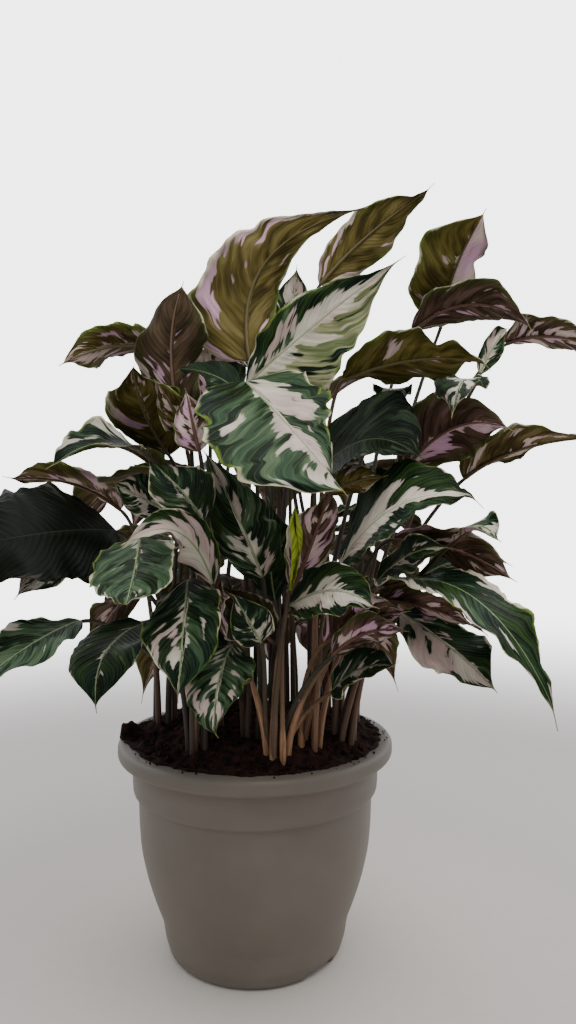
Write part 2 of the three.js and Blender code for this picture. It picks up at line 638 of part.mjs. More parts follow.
function meshOf(name, geometry, colour, roughness) {
  geometry.computeVertexNormals();
  const material = new THREE.MeshStandardMaterial({ color: colour, roughness, metalness: 0 });
  const mesh = new THREE.Mesh(geometry, material);
  mesh.name = name;
  return mesh;
}

const plant = new THREE.Group();
const standing = [];

const potShape = geometryFrom(potSolid());
const peatShape = geometryFrom(peatSolid());
stand(standing, potShape, 'pot');
stand(standing, peatShape, 'peat');
plant.add(meshOf('pot', potShape, colours.pot, 0.6));
plant.add(meshOf('soil', peatShape, colours.peat, 1));

// A partner is fused with its host, and they share a node
const nodes = [];
for (const row of rootedRows()) {
  const host = row.host ? nodes[row.host - 1] : undefined;
  const leaf = placed(row, standing.filter((other) => other.label !== host?.label));
  const [stalk, blade] = [stalkLoops(leaf), bladeLoops(leaf)];
  const label = `stalk of row ${row.number}`;
  stand(standing, skinOf(stalk), label);
  stand(standing, skinOf(blade), `blade of row ${row.number}`);
  const shape = skinOf([...stalk, ...blade]);
  if (host) {
    host.shape = geometryFrom(solidOf(host.shape).add(solidOf(shape)));
  } else {
    nodes.push({ shape, label, cream: row.cream });
  }
}
nodes.forEach(({ shape, cream }, index) => {
  const colour = new THREE.Color(colours.green).lerp(new THREE.Color(colours.cream), cream);
  plant.add(meshOf(`leaf_${String(index + 1).padStart(2, '0')}`, shape, colour, 0.5));
});

export default plant;
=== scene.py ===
"""A potted calathea with marbled leaves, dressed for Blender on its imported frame.

The blades and stalks repeat the rules of the part's source with finer grids, so each leaf keeps the
place and the form of its solid. The marbling, the veins and the pale margins are painted by
procedural materials that read attributes of the blade: they follow the midrib and the side veins.
Numbers in the tables are millimetres, and every mesh is made in metres.
"""

import math

import bpy
import numpy as np
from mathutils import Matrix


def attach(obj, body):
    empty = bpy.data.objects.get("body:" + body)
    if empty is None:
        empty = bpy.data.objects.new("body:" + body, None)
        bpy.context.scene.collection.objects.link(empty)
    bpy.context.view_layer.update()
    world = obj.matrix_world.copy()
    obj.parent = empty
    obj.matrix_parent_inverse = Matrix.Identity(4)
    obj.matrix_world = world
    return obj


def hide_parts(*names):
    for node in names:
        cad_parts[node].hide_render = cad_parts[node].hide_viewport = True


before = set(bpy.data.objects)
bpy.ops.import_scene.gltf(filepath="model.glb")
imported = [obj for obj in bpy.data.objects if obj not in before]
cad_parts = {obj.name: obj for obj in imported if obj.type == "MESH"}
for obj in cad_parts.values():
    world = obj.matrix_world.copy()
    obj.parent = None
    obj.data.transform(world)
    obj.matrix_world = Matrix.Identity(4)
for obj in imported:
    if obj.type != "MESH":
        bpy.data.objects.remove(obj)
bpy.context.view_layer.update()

MM = 0.001
UP = np.array([0.0, 0.0, 1.0])

# The camera: its place in metres, and its lens on a sensor that lies along the picture's long side
CAMERA_AT = (0.039, -0.905, 0.517)
CAMERA_LENS = 26.19
SENSOR_WIDTH = 36

# The square lamps: name, place, target and side in metres, watts, and tone
LAMPS = [
    ("key", (0.6, -0.6, 2.4), (0, 0, 0.5), 1.3, 21, (1.0, 0.985, 0.96)),
    ("upper", (0.2, -1.0, 1.9), (0, 0, 0.75), 0.8, 6, (1.0, 0.99, 0.97)),
    ("fill", (-1.6, -1.4, 1.0), (0, 0, 0.4), 1.4, 2, (0.94, 0.97, 1.0)),
]

# The sky's strength: along an axis it goes, between a low and a high place of the direction, from
# a first value to a last one. Then the strength of the backdrop that the camera sees
SKY_RAMPS = [("Z", -0.02, 0.34, 1.0, 2.1), ("Y", -0.6, 0.4, 0.4, 1.0)]
BACKDROP_LIGHT = 5.2

# The floor, in metres: its radius, and between which distances from the pot it fades out
FLOOR_RADIUS = 30
FLOOR_SIDES = 96
FADE_FROM = 0.9
FADE_TO = 3.2

# The pot's turned profile, radius and height, from the middle of its underside round to the
# middle of its floor, how many of its points are outside, how far each corner is rounded, how
# many places there are round it, and the drain notches in the edge of its foot
POT_PROFILE = [
    (0, 0), (60, 0), (90.5, 0), (97, 0), (101.6, 1.6), (104.5, 6), (105.3, 9.6), (105.5, 10.4),
    (107.8, 17), (109.7, 29), (112, 41), (117, 54), (121.4, 66), (125.6, 79), (129.2, 91),
    (132.0, 103), (134.6, 115), (136.7, 128), (138.4, 150), (139.6, 182), (139.9, 187),
    (145.6, 190.6), (146.4, 200), (147.2, 229.5), (157, 230), (162.2, 231.4), (163.8, 235),
    (163.6, 244), (161, 247.8), (155, 249), (148, 249), (144.5, 245.5), (143, 220),
    (133, 128), (108, 45), (100.5, 32), (0, 32),
]
POT_OUTSIDE = 24
POT_CORNER = 2.2
POT_PLACES = 144
FOOT_RADIUS = 104
NOTCH_COUNT = 2
NOTCH_TURN = math.radians(-43)
NOTCH_WIDTH = 46
NOTCH_TOP = 10
NOTCH_RADIUS = 90.5

# The peat: the heap of the source, its ragged edge and its height on the pot's lip, the rings
# under it, a clump at the left, and the loose crumbs
PEAT_EDGE = 246
PEAT_HEAP = 16
PEAT_BUMP = 1.6
PEAT_RADIUS = 144
PEAT_PLACES = 300
PEAT_REACH = 149.5
LIP_HEIGHT = 250.2
LIP_UNDER = 249.3
PEAT_FOOT = [(0, 234), (70, 234), (136, 236), (142.5, 246)]
CLUMP_TURN = math.radians(184)
CLUMP_AT = (-153, -9)
CRUMB_COUNT = 2600
LIP_CRUMBS = 70

# The crowns that the stalks come out of, how high their holes start, and the ring of places that
# a crown's stalks stand on
CROWNS = {
    "a": (28, -112), "b": (0, -58), "c": (62, -84), "d": (64, -24), "e": (-112, 8),
    "f": (96, 70), "g": (-52, -22), "h": (-72, 72), "i": (12, 22), "j": (42, 82),
    "k": (-14, 118), "l": (-58, -92), "m": (102, -58), "n": (112, 8),
}
HOLE_FLOOR = 238.6
STALK_RING = 11
RING_PLACES = 6

# The stalk's radius at its foot and its neck, how far ahead of the heel it joins the midrib's
# line, how much thicker it is in its sheath and in the swelling under the blade, and its rib
# along the underside: where that ends, and its radius at the heel and at the tip
STALK_FOOT = 3.1
STALK_NECK = 1.9
NECK_REACH = 34
SHEATH_SHARE = 0.24
SWELL_SHARE = 0.16
SWELL_AT = 0.93
RIB_END = 0.94
RIB_HEEL = 1.9
RIB_TIP = 0.35

# The blade as in the source: half its thickness, its least half width at the tip and the heel,
# how much its tip is drawn out, and the step of the waves from leaf to leaf
CAD_LIFT = 0.45
TIP_HALF = 0.8
HEEL_HALF = 2.3
TIP_SHARPNESS = 0.6
PHASE_STEP = 1.7

# The form that most leaves have: skew, peak and blunt
PLAIN = (0, 0.45, 0.7)

# The leaves that the photo shows: crown, heel, mid and tip of the midrib, width, where the upper
# side looks, cup in degrees, wave, form with a peak and blunt of its own for the second half where
# that has them, whether the solid is coarse, and the look: seed, then how pale the middle, the
# first half, the second half and the tip are, how much half tone there is, how purple the underside
# is, how strong the pale margin is, and last, where it isn't 1, the leaf's painted shade: below 1
# it is painted darker, as shade that falls on it, and 2 makes it a young yellow-green one
LEAVES = [
    # The front
    ("b", (-7, -100, 658), (40, -205, 597), (86, -270, 535), 148, (0.1, -0.75, 0.65), 16, 5,
     (-0.18, 0.16, 0.8, 0.58, 0.3), False, (1, 0.42, 0, -0.3, 0.1, 0.8, 0.5, 0.6, 0.88)),
    ("c", (91, -140, 460), (139, -225, 522), (200, -275, 528), 96, (-0.2, -0.75, 0.65), 16, 4,
     (0.15, 0.4, 0.7), False, (2, 0.75, -0.05, 0, 0, 0.2, 0.5, 0.3)),
    ("c", (140, -130, 440), (206, -232, 440), (268, -270, 343), 90, (0.3, -0.5, 0.85), 18, 4,
     (0, 0.32, 0.5), False, (3, -0.45, -0.55, -0.4, 0, 0.35, 0.6, 0.75)),
    ("a", (157, -120, 412), (195, -195, 386), (224, -240, 358), 72, (0, -0.7, 0.7), 16, 4,
     PLAIN, False, (4, 0.35, -0.35, 0.35, 0, 0.45, 0.5, 0.6)),
    ("l", (-119, -110, 489), (-104, -215, 460), (-98, -280, 437), 86, (-0.15, -0.55, 0.8), 14, 6,
     (0, 0.42, 0.5), False, (5, -0.1, -0.4, -0.35, -0.1, 0.9, 0.5, 0.65, 0.9)),
    ("l", (-64, -140, 447), (-57, -225, 408), (-58, -250, 355), 76, (-0.1, -0.85, 0.5), 16, 4,
     PLAIN, False, (6, 0.12, -0.36, -0.08, 0, 0.55, 0.5, 0.5, 0.85)),
    ("a", (-19, -130, 379), (-26, -215, 358), (-26, -245, 319), 66, (-0.1, -0.8, 0.55), 16, 4,
     PLAIN, False, (7, 0.14, -0.2, -0.12, 0, 0.85, 0.5, 0.3, 0.82)),
    ("b", (13, -150, 451), (-8, -150, 504), (-52, -90, 585), 64, (0.1, -0.95, 0.3), 16, 3,
     PLAIN, False, (8, 0.25, -0.1, -0.25, -0.15, 0.7, 0.5, 0.2, 0.78)),
    ("l", (-112, -110, 399), (-138, -180, 382), (-139, -215, 336), 88, (-0.3, -0.75, 0.55), 16, 4,
     (0.12, 0.45, 0.7), False, (9, 0.1, -0.5, -0.4, 0, 0.35, 0.6, 0.3, 0.8)),
    ("a", (41, -140, 421), (81, -220, 444), (114, -260, 433), 58, (0, -0.95, 0.35), 18, 4,
     PLAIN, False, (10, 0.5, -0.15, 0.25, 0, 0.35, 0.5, 0.35, 0.85)),
    ("a", (44, -140, 437), (66, -175, 497), (82, -205, 551), 48, (-0.3, 0.9, 0.1), 24, 3,
     PLAIN, False, (11, 0.05, -0.1, 0, 0, 0.6, 0.8, 0.55)),
    ("b", (-35, -170, 446), (-64, -200, 497), (-108, -235, 489), 46, (-0.2, -0.8, 0.5), 24, 3,
     PLAIN, False, (12, 0.3, 0.6, 0.25, 0, 0.3, 0.6, 0.4, 0.85)),
    # The top
    ("i", (-6, -40, 692), (13, -30, 811), (130, -60, 862), 106, (-0.2, 0.95, 0.3), 26, 8,
     (-0.26, 0.24, 1), False, (13, -0.35, -0.45, -0.25, -0.1, 0.6, 0.15, 0.95)),
    ("b", (-8, -90, 656), (70, -110, 720), (157, -120, 785), 98, (0, -1, 0.05), 12, 4,
     (-0.3, 0.42, 1, 0.25, 0.75), False, (14, 0.6, 0.12, -0.28, 0.15, 1.02, 0.3, 0.6)),
    ("i", (79, 20, 799), (138, 20, 860), (214, 10, 914), 62, (0.2, 0.9, 0.4), 24, 3,
     PLAIN, False, (15, -0.35, -0.5, -0.35, -0.4, 0.5, 0.15, 0.5)),
    ("n", (230, 20, 756), (236, -25, 804), (258, -70, 850), 90, (-0.3, 0.9, 0.2), 26, 6,
     (-0.18, 0.52, 0.38), False, (16, 0.05, 0.5, -0.5, 0, 0.5, 0.05, 0.7)),
    ("g", (-77, -60, 592), (-94, -60, 692), (-82, -55, 774), 80, (-0.2, 0.95, 0.1), 30, 6,
     (0, 0.62, 0.35), False, (17, -0.2, -0.5, -0.2, -0.45, 0.3, 0.7, 0.6, 0.6)),
    # The right
    ("c", (101, -90, 663), (167, -155, 671), (228, -200, 658), 78, (0, 0.6, 0.8), 22, 3,
     PLAIN, False, (18, 0.15, -0.45, -0.35, 0, 0.5, 0, 0.6, 0.85)),
    ("n", (193, 20, 741), (250, -40, 759), (308, -80, 723), 70, (0.1, 0.6, 0.8), 22, 3,
     (0, 0.58, 0.5), True, (19, -0.05, -0.25, -0.3, 0, 0.5, 0.8, 0.45)),
    ("d", (72, -100, 560), (117, -172, 588), (160, -222, 566), 112, (0, -0.85, 0.5), 16, 3,
     (0.15, 0.45, 0.7), False, (20, -0.35, -0.75, -0.75, 0, 0.85, 0.5, 0.15, 0.28)),
    ("m", (168, -70, 562), (209, -130, 604), (256, -170, 600), 78, (0.1, 0.9, 0.4), 20, 3,
     PLAIN, False, (21, 0.35, 0, -0.45, 0, 0.35, 0.85, 0.35)),
    ("m", (236, -70, 555), (282, -120, 583), (350, -150, 592), 46, (0, 0.7, 0.7), 30, 3,
     (-0.5, 0.45, 0.7), True, (22, 0.1, -0.1, -0.15, 0, 0.6, 0.3, 0.75)),
    ("n", (301, -10, 720), (335, -65, 716), (376, -100, 692), 60, (0, 0.6, 0.7), 20, 3,
     PLAIN, True, (23, 0.1, 0.05, -0.1, 0, 0.5, 0.65, 0.45)),
    ("m", (249, -100, 668), (262, -98, 694), (279, -95, 720), 26, (0, -0.9, 0.3), 26, 3,
     PLAIN, True, (24, 0.45, 0.25, 0.1, 0, 0.6, 0.4, 0.5)),
    ("d", (236, -87, 661), (218, -129, 651), (196, -193, 610), 54, (-0.2, -0.7, 0.7), 18, 3,
     PLAIN, True, (25, 0.4, -0.3, -0.2, 0, 0.4, 0.5, 0.35)),
    ("d", (150, -62, 650), (150, -126, 645), (143, -165, 607), 42, (0, -0.8, 0.6), 22, 2,
     PLAIN, True, (26, 0.55, -0.05, 0.05, 0, 0.4, 0.5, 0.35)),
    ("m", (204, -192, 490), (218, -226, 503), (232, -244, 490), 42, (0, -0.7, 0.7), 18, 2,
     PLAIN, True, (27, 0.1, 0.05, 0.05, 0, 0.8, 0.5, 0.6)),
    ("m", (152, -150, 489), (210, -185, 479), (257, -215, 451), 54, (-0.2, 0.8, 0.5), 20, 3,
     PLAIN, True, (28, -0.2, -0.35, -0.3, 0, 0.45, 0.75, 0.4, 0.9)),
    ("m", (144, -60, 434), (181, -105, 462), (230, -140, 466), 66, (0, -0.6, 0.8), 18, 3,
     PLAIN, True, (29, -0.1, -0.35, -0.3, 0, 0.45, 0.6, 0.75, 0.8)),
    ("c", (137, -110, 425), (177, -175, 424), (221, -215, 406), 46, (-0.1, 0.85, 0.5), 20, 3,
     PLAIN, True, (30, 0.05, -0.05, -0.15, 0, 0.5, 0.85, 0.5)),
    ("c", (78, -100, 379), (117, -140, 409), (152, -170, 420), 58, (0, 0.8, 0.5), 20, 3,
     PLAIN, True, (31, 0.1, 0.05, -0.05, 0, 0.5, 0.8, 0.4)),
    ("a", (85, -125, 330), (112, -165, 360), (142, -195, 370), 62, (0, -0.7, 0.7), 18, 3,
     PLAIN, True, (32, 0.15, -0.25, -0.3, 0, 0.45, 0.7, 0.5, 0.7)),
    # The left
    ("e", (-124, 10, 720), (-166, -50, 707), (-205, -100, 677), 62, (0.1, 0.75, 0.6), 24, 3,
     PLAIN, True, (33, 0.05, -0.15, -0.05, 0, 0.6, 0.2, 0.8)),
    ("g", (-96, -40, 582), (-113, -100, 622), (-113, -160, 661), 88, (-0.1, 0.6, 0.75), 30, 3,
     PLAIN, False, (34, 0, -0.25, -0.2, 0, 0.5, 0, 0.85, 0.7)),
    ("g", (-45, -140, 579), (-51, -142, 606), (-57, -145, 640), 44, (-0.6, 0.7, 0.2), 34, 2,
     PLAIN, True, (35, 0.2, 0.2, 0.25, 0, 0.4, 0.7, 0.6)),
    ("e", (-96, -50, 552), (-146, -115, 589), (-197, -160, 562), 94, (0, -0.45, 0.9), 36, 3,
     PLAIN, False, (36, 0, -0.3, -0.2, 0, 0.5, 0.3, 0.85, 0.8)),
    ("e", (-164, 0, 521), (-212, -45, 551), (-270, -80, 553), 80, (0, 0.1, 1), 20, 3,
     PLAIN, True, (37, 0.05, 0, -0.15, 0, 0.6, 0.3, 0.75)),
    ("e", (-152, -80, 497), (-214, -145, 495), (-300, -190, 476), 138, (-0.1, -0.85, 0.5), -14, 5,
     (-0.14, 0.45, 0.5), False, (38, -0.7, -0.85, -0.85, 0, 0.3, 0.2, 0.45, 0.08)),
    ("l", (-180, -100, 463), (-207, -140, 446), (-233, -170, 422), 62, (-0.3, -0.6, 0.7), 20, 3,
     PLAIN, True, (39, 0.15, 0.05, 0.1, 0, 0.5, 0.7, 0.55)),
    ("l", (-186, -100, 400), (-226, -150, 380), (-275, -190, 338), 70, (-0.2, -0.6, 0.75), 18, 3,
     PLAIN, False, (40, -0.2, -0.45, -0.5, 0, 0.85, 0.6, 0.2)),
    ("g", (-45, -150, 519), (-71, -135, 552), (-110, -100, 584), 62, (-0.1, -0.8, 0.5), 18, 3,
     PLAIN, True, (41, 0.1, -0.3, -0.25, 0, 0.5, 0.5, 0.65, 0.7)),
    ("e", (-91, -70, 517), (-119, -100, 533), (-144, -125, 548), 52, (0, -0.9, 0.4), 20, 3,
     PLAIN, True, (42, 0.25, 0.05, -0.05, 0, 0.65, 0.5, 0.55)),
    # Between the others
    ("i", (30, 40, 726), (44, 45, 775), (50, 40, 826), 62, (0.5, -0.8, 0.2), 20, 3,
     PLAIN, True, (43, 0.3, 0.05, 0.05, 0, 0.6, 0.5, 0.5)),
    ("g", (-15, -85, 650), (-45, -95, 668), (-80, -105, 672), 60, (0, -0.7, 0.7), 16, 2,
     PLAIN, True, (44, -0.35, -0.7, -0.7, 0, 0.4, 0.5, 0.15, 0.6)),
    ("i", (24, -60, 417), (18, -68, 475), (19, -62, 531), 62, (0.3, -0.9, 0.2), 20, 3,
     PLAIN, True, (45, -0.15, -0.5, -0.5, 0, 0.5, 0.5, 0.1, 0.7)),
]

# The sheaves at the sides and the back, by the rule of the part's source. A tier is its heel's
# height and distance out, its reach, how far its tip rises, its width, and how much lower it
# hangs at the sides
SHEAF_COUNT = 13
SHEAF_FROM = 12
SHEAF_TO = 160
SHEAF_SWAY = 24
SHEAF_ARCH = 34
SHEAF_SPLIT = 2.6
SHEAF_CUP = 20
SHEAF_WAVE = 4
SHEAF_SEED = 60
SHEAF_CROWNS = "ffffjjjkkhhhh"
LOWER_TIERS = [(356, 108, 132, -112, 104, -115), (446, 108, 142, -112, 108, -60)]
UPPER_TIERS = [(590, 104, 166, -84, 108, 80), (715, 56, 160, 78, 98, 150)]

# Smaller leaves that share a root with a leaf above: its node's number stands for the crown
PARTNERS = [
    (41, (-20, -66, 424), (-26, -92, 396), (-14, -108, 358), 58, (0.1, -0.9, 0.4), 18, 3,
     PLAIN, True, (46, 0, -0.35, -0.35, 0, 0.4, 0.6, 0.25, 0.6)),
    (17, (-55, -30, 651), (-53, -32, 684), (-38, -30, 722), 52, (-0.2, 0.95, 0), 24, 2,
     PLAIN, True, (47, 0.1, 0.45, 0.35, 0, 0.4, 0.75, 0.4)),
    (12, (-28, -150, 453), (-32, -168, 424), (-17, -166, 394), 36, (0.6, 0.6, 0.4), 30, 3,
     PLAIN, True, (48, -0.2, -0.2, 0, 0, 0.4, 0.8, 0.95)),
    (11, (41, -168, 440), (46, -205, 485), (45, -228, 523), 36, (0.2, -1, 0), 150, 0,
     (0, 0.66, 0.7), True, (49, -0.6, -0.9, -0.9, 0, 0.6, 0, 0.1, 2)),
    (20, (82, -158, 540), (103, -176, 552), (132, -184, 556), 30, (0.1, 0.9, 0.3), 20, 2,
     PLAIN, True, (50, -0.05, -0.3, -0.2, 0, 0.5, 0.1, 0.95)),
    (8, (22, -128, 392), (-2, -142, 420), (-28, -150, 452), 54, (0.1, 0.95, 0.2), 20, 3,
     PLAIN, True, (51, -0.3, -0.6, -0.6, 0, 0.4, 0.85, 0.6, 0.45)),
    (6, (-38, -150, 424), (-55, -175, 457), (-75, -190, 478), 34, (0.2, 0.9, 0.3), 30, 3,
     PLAIN, True, (52, -0.1, -0.25, -0.2, 0, 0.5, 0.45, 0.85, 0.8)),
    (7, (12, -160, 362), (2, -180, 386), (-14, -188, 414), 42, (0.1, -0.95, 0.2), 20, 3,
     PLAIN, True, (53, 0.2, -0.3, -0.25, 0, 0.45, 0.5, 0.6)),
    (32, (84, -140, 372), (117, -160, 398), (152, -178, 402), 38, (0.1, 0.9, 0.4), 20, 3,
     PLAIN, True, (54, 0.15, 0.05, -0.05, 0, 0.5, 0.8, 0.45)),
    (42, (-71, -50, 508), (-94, -65, 534), (-116, -80, 550), 40, (0.2, 0.95, 0.2), 20, 3,
     PLAIN, True, (55, -0.15, -0.35, -0.3, 0, 0.45, 0.9, 0.4, 0.7)),
    (30, (134, -115, 444), (163, -150, 474), (198, -170, 482), 42, (0, -0.8, 0.6), 20, 3,
     PLAIN, True, (56, 0.05, -0.4, -0.4, 0, 0.45, 0.5, 0.75, 0.75)),
    (34, (-92, -95, 592), (-103, -125, 620), (-118, -150, 650), 38, (-0.1, 0.9, 0.4), 26, 3,
     PLAIN, True, (57, 0.1, -0.15, -0.1, 0, 0.5, 0.2, 0.9)),
]

# The shifts and side steps that the source tries
SHIFT_STEPS = [8, 16, 24, 34, 46, 60]
SHIFT_WAYS = [
    (0, 1, 0), (0, -1, 0), (0, 0, 1), (0, 0, -1), (1, 0, 0), (-1, 0, 0),
    (0, 0.7, 0.7), (0, 0.7, -0.7), (0, -0.7, 0.7), (0, -0.7, -0.7), (0.7, 0.7, 0), (-0.7, 0.7, 0),
]
BEND_STEPS = [12, 24, 38, 54, 72, 92]
BEND_TURNS = 8

# How fine the grids are: along the blade, across it, past its midrib's end, along the stalk and
# its rib, round the stalk, and what share of that the front leaf and a coarse solid's leaf have
BLADE_ROWS = 72
BLADE_COLUMNS = 27
TIP_ROWS = 5
STALK_ROWS = 44
RIB_ROWS = 26
STALK_SIDES = 12
FRONT_SHARE = 1.6
COARSE_SHARE = 0.7

# The fine blade: half its thickness, and what it has beyond the source's, with the length of
# each along the margin: ruffles, a frill, a rolled margin, a ragged margin, scallops, an uneven
# cup, so many quilted bands as high as a share of the leaf's length, a twist in radians and a
# curl of the tip. Then how many side veins and thin veins are painted
SKIN_HALF = 0.36
RUFFLE_HEIGHT = 8.0
RUFFLE_LENGTH = 17
FRILL_LENGTH = 6.5
ROLL_HEIGHT = 7.5
ROLL_LENGTH = 42
RAGGED_SHARE = 0.15
RAGGED_LENGTH = 12
SCALLOP_SHARE = 0.13
SCALLOP_LENGTH = 34
CUP_LENGTH = 46
QUILT_COUNT = 12
QUILT_SHARE = 0.0022
TWIST_MOST = 0.7
TIP_CURL = 9
VEIN_COUNT = 24
THIN_COUNT = 96

# A leaf with more half tone than this keeps it in its second half, and has less in its first
PALEST = 1.0
DARK_HALF = 0.3


# Numbers

def unit(v):
    """Each vector over its length."""
    return v / np.linalg.norm(v, axis=-1, keepdims=True)


def turns_round(count):
    """So many angles, evenly round the axis from zero."""
    return np.linspace(0, 2 * np.pi, count, endpoint=False)


def smooth(low, high, x):
    """0 below low, 1 above high, and an S-shaped cubic between them."""
    t = np.clip((x - low) / (high - low), 0.0, 1.0)
    return t * t * (3.0 - 2.0 * t)


def lattice(cell, seed):
    """A number from -1 to 1 for each whole-number cell, scrambled by integer products."""
    mixed = cell[..., 0] * 374761393 + cell[..., 1] * 668265263 + cell[..., 2] * 1274126177
    mixed = (mixed + seed * 974634777) & 0x7FFFFFFF
    mixed = ((mixed ^ (mixed >> 13)) * 1103515245 + 12345) & 0x7FFFFFFF
    mixed = ((mixed ^ (mixed >> 11)) * 1103515245 + 12345) & 0x7FFFFFFF
    return (mixed >> 7) / float(0x7FFFFFFF >> 7) * 2.0 - 1.0


def noise(points, seed=0):
    """Value noise: the eight lattice numbers round a point, blended by S-shaped weights."""
    cell = np.floor(points).astype(np.int64)
    part = points - cell
    part = part * part * (3.0 - 2.0 * part)
    total = np.zeros(points.shape[:-1])
    for corner in np.ndindex(2, 2, 2):
        weight = np.prod(np.where(np.array(corner) == 1, part, 1.0 - part), axis=-1)
        total += weight * lattice(cell + np.array(corner), seed)
    return total


def cloud(points, seed=0, octaves=4):
    """Noise added to itself at twice the scale and half the height, several times."""
    total = np.zeros(points.shape[:-1])
    for k in range(octaves):
        total += noise(points * 2.0 ** k + 17.3 * k, seed + k) * 0.5 ** k
    return total


# Meshes

def in_scene(name, data):
    """An object at the origin, linked into the scene."""
    obj = bpy.data.objects.new(name, data)
    bpy.context.scene.collection.objects.link(obj)
    return obj


def piece_from(name, points, faces, material, slot, attributes=None, smooth_shading=True):
    """A mesh object at the origin from points in millimetres and lists of faces, riding on the
    one body, with float attributes on its points."""
    mesh = bpy.data.meshes.new(name)
    mesh.from_pydata((points * MM).tolist(), [], faces)
    for key, values in (attributes or {}).items():
        values = np.asarray(values, dtype=np.float32)
        kind = "FLOAT_VECTOR" if values.ndim == 2 else "FLOAT"
        layer = mesh.attributes.new(key, kind, "POINT")
        layer.data.foreach_set("vector" if values.ndim == 2 else "value", values.ravel())
    mesh.polygons.foreach_set("use_smooth", np.full(len(mesh.polygons), smooth_shading))
    mesh.materials.append(material)
    mesh.update()
    obj = in_scene(name, mesh)
    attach(obj, "root")
    return obj


def quads(rows, columns, start=0, wrap=True):
    """Faces between neighbouring rows of a grid, with its last column joined to its first."""
    r = np.arange(rows - 1)[:, None] * columns
    c = np.arange(columns if wrap else columns - 1)[None, :]
    n = (c + 1) % columns
    stack = np.stack([r + c, r + n, r + columns + n, r + columns + c], axis=-1)
    return (stack.reshape(-1, 4) + start).tolist()


def end_strips(rows, columns, start=0):
    """Quads that close the two thin ends of a blade, from its upper to its under side."""
    half = columns // 2
    j = np.arange(half - 1)
    first = np.stack([j + 1, j, columns - 1 - j, columns - 2 - j], axis=-1)
    last = np.stack([j, j + 1, columns - 2 - j, columns - 1 - j], axis=-1)
    last = last + (rows - 1) * columns
    return (np.concatenate([first, last]) + start).tolist()


def end_caps(rows, columns, start=0):
    """Two many-sided faces that close the ends of a stalk."""
    first = [start + columns - 1 - c for c in range(columns)]
    last = [start + (rows - 1) * columns + c for c in range(columns)]
    return [first, last]


def turned_shell(rows):
    """A grid of rings whose first and last ring is one point: points and faces, with the rings
    wound so that a profile that runs from the bottom outwards and up faces out."""
    count, columns = rows.shape[:2]
    points = np.concatenate([rows[:1, 0], rows[1:-1].reshape(-1, 3), rows[-1:, 0]])
    c = np.arange(columns)
    n = (c + 1) % columns
    first = np.stack([np.zeros(columns, dtype=int), 1 + n, 1 + c], axis=-1)
    base = 1 + (count - 3) * columns
    last = np.stack([np.full(columns, len(points) - 1), base + c, base + n], axis=-1)
    faces = quads(count - 2, columns, start=1)
    return points, first.tolist() + faces + last.tolist()


# Leaves

def blade_share(leaf, t, share):
    """Half width as a share of the greatest: a sine of t raised so that it peaks at peak, then
    raised to blunt, which rounds the base, and to more towards the tip, which draws it out."""
    first, second = leaf["halves"]
    peak = np.where(share < 0, second[0], first[0])
    blunt = np.where(share < 0, second[1], first[1])
    t = np.clip(t, 0, 1)
    swell = np.sin(np.pi * t ** (math.log(0.5) / np.log(peak)))
    return np.maximum(swell, 0.0) ** (blunt + TIP_SHARPNESS * t * t)


def midrib_point(leaf, t):
    """A parabola through heel, mid and tip."""
    heel, mid, tip = leaf["heel"], leaf["mid"], leaf["tip"]
    control = 2 * mid - (heel + tip) / 2
    return (1 - t) ** 2 * heel + 2 * (1 - t) * t * control + t ** 2 * tip


def midrib_way(leaf, t):
    """The direction of the parabola, its derivative made one long."""
    heel, mid, tip = leaf["heel"], leaf["mid"], leaf["tip"]
    control = 2 * mid - (heel + tip) / 2
    return unit((1 - t) * (control - heel) + t * (tip - control))


def blade_frame(leaf, t):
    """Across the blade and out of its upper side: face crossed with the midrib's direction, and
    the midrib's direction crossed with that."""
    along = midrib_way(leaf, t)
    side = unit(np.cross(np.broadcast_to(leaf["face"], along.shape), along))
    return side, np.cross(along, side)


def along_margin(leaf, t, share, length, seed):
    """Noise that runs along each margin in lumps of the given length, different on both sides."""
    run = t * leaf["length"] / length
    side = 3.0 * np.sign(share) + 0.5 * share
    place = np.stack(np.broadcast_arrays(run, side, leaf["phase"] + 0.0 * run), axis=-1)
    return noise(place, seed)


def ruffles(leaf, t, share):
    """How far the fine blade rises above the plain one, in millimetres: long ruffles and a short
    frill that grow towards the margin, a rolled margin, and the quilting between side veins."""
    size = np.abs(share)
    held = smooth(0, 0.1, t) * (1 - smooth(0.9, 1, t))
    long = RUFFLE_HEIGHT * along_margin(leaf, t, share, RUFFLE_LENGTH, 5) * size ** 2.2
    frill = leaf["frill"] * along_margin(leaf, t, share, FRILL_LENGTH, 6) * size ** 5
    roll = ROLL_HEIGHT * along_margin(leaf, t, share, ROLL_LENGTH, 7) * smooth(0.74, 1.0, size)
    quilt = leaf["quilt"] * np.cos(2 * np.pi * QUILT_COUNT * vein_start(t, share))
    return (long + frill + roll + quilt * smooth(0.02, 0.3, size)) * held


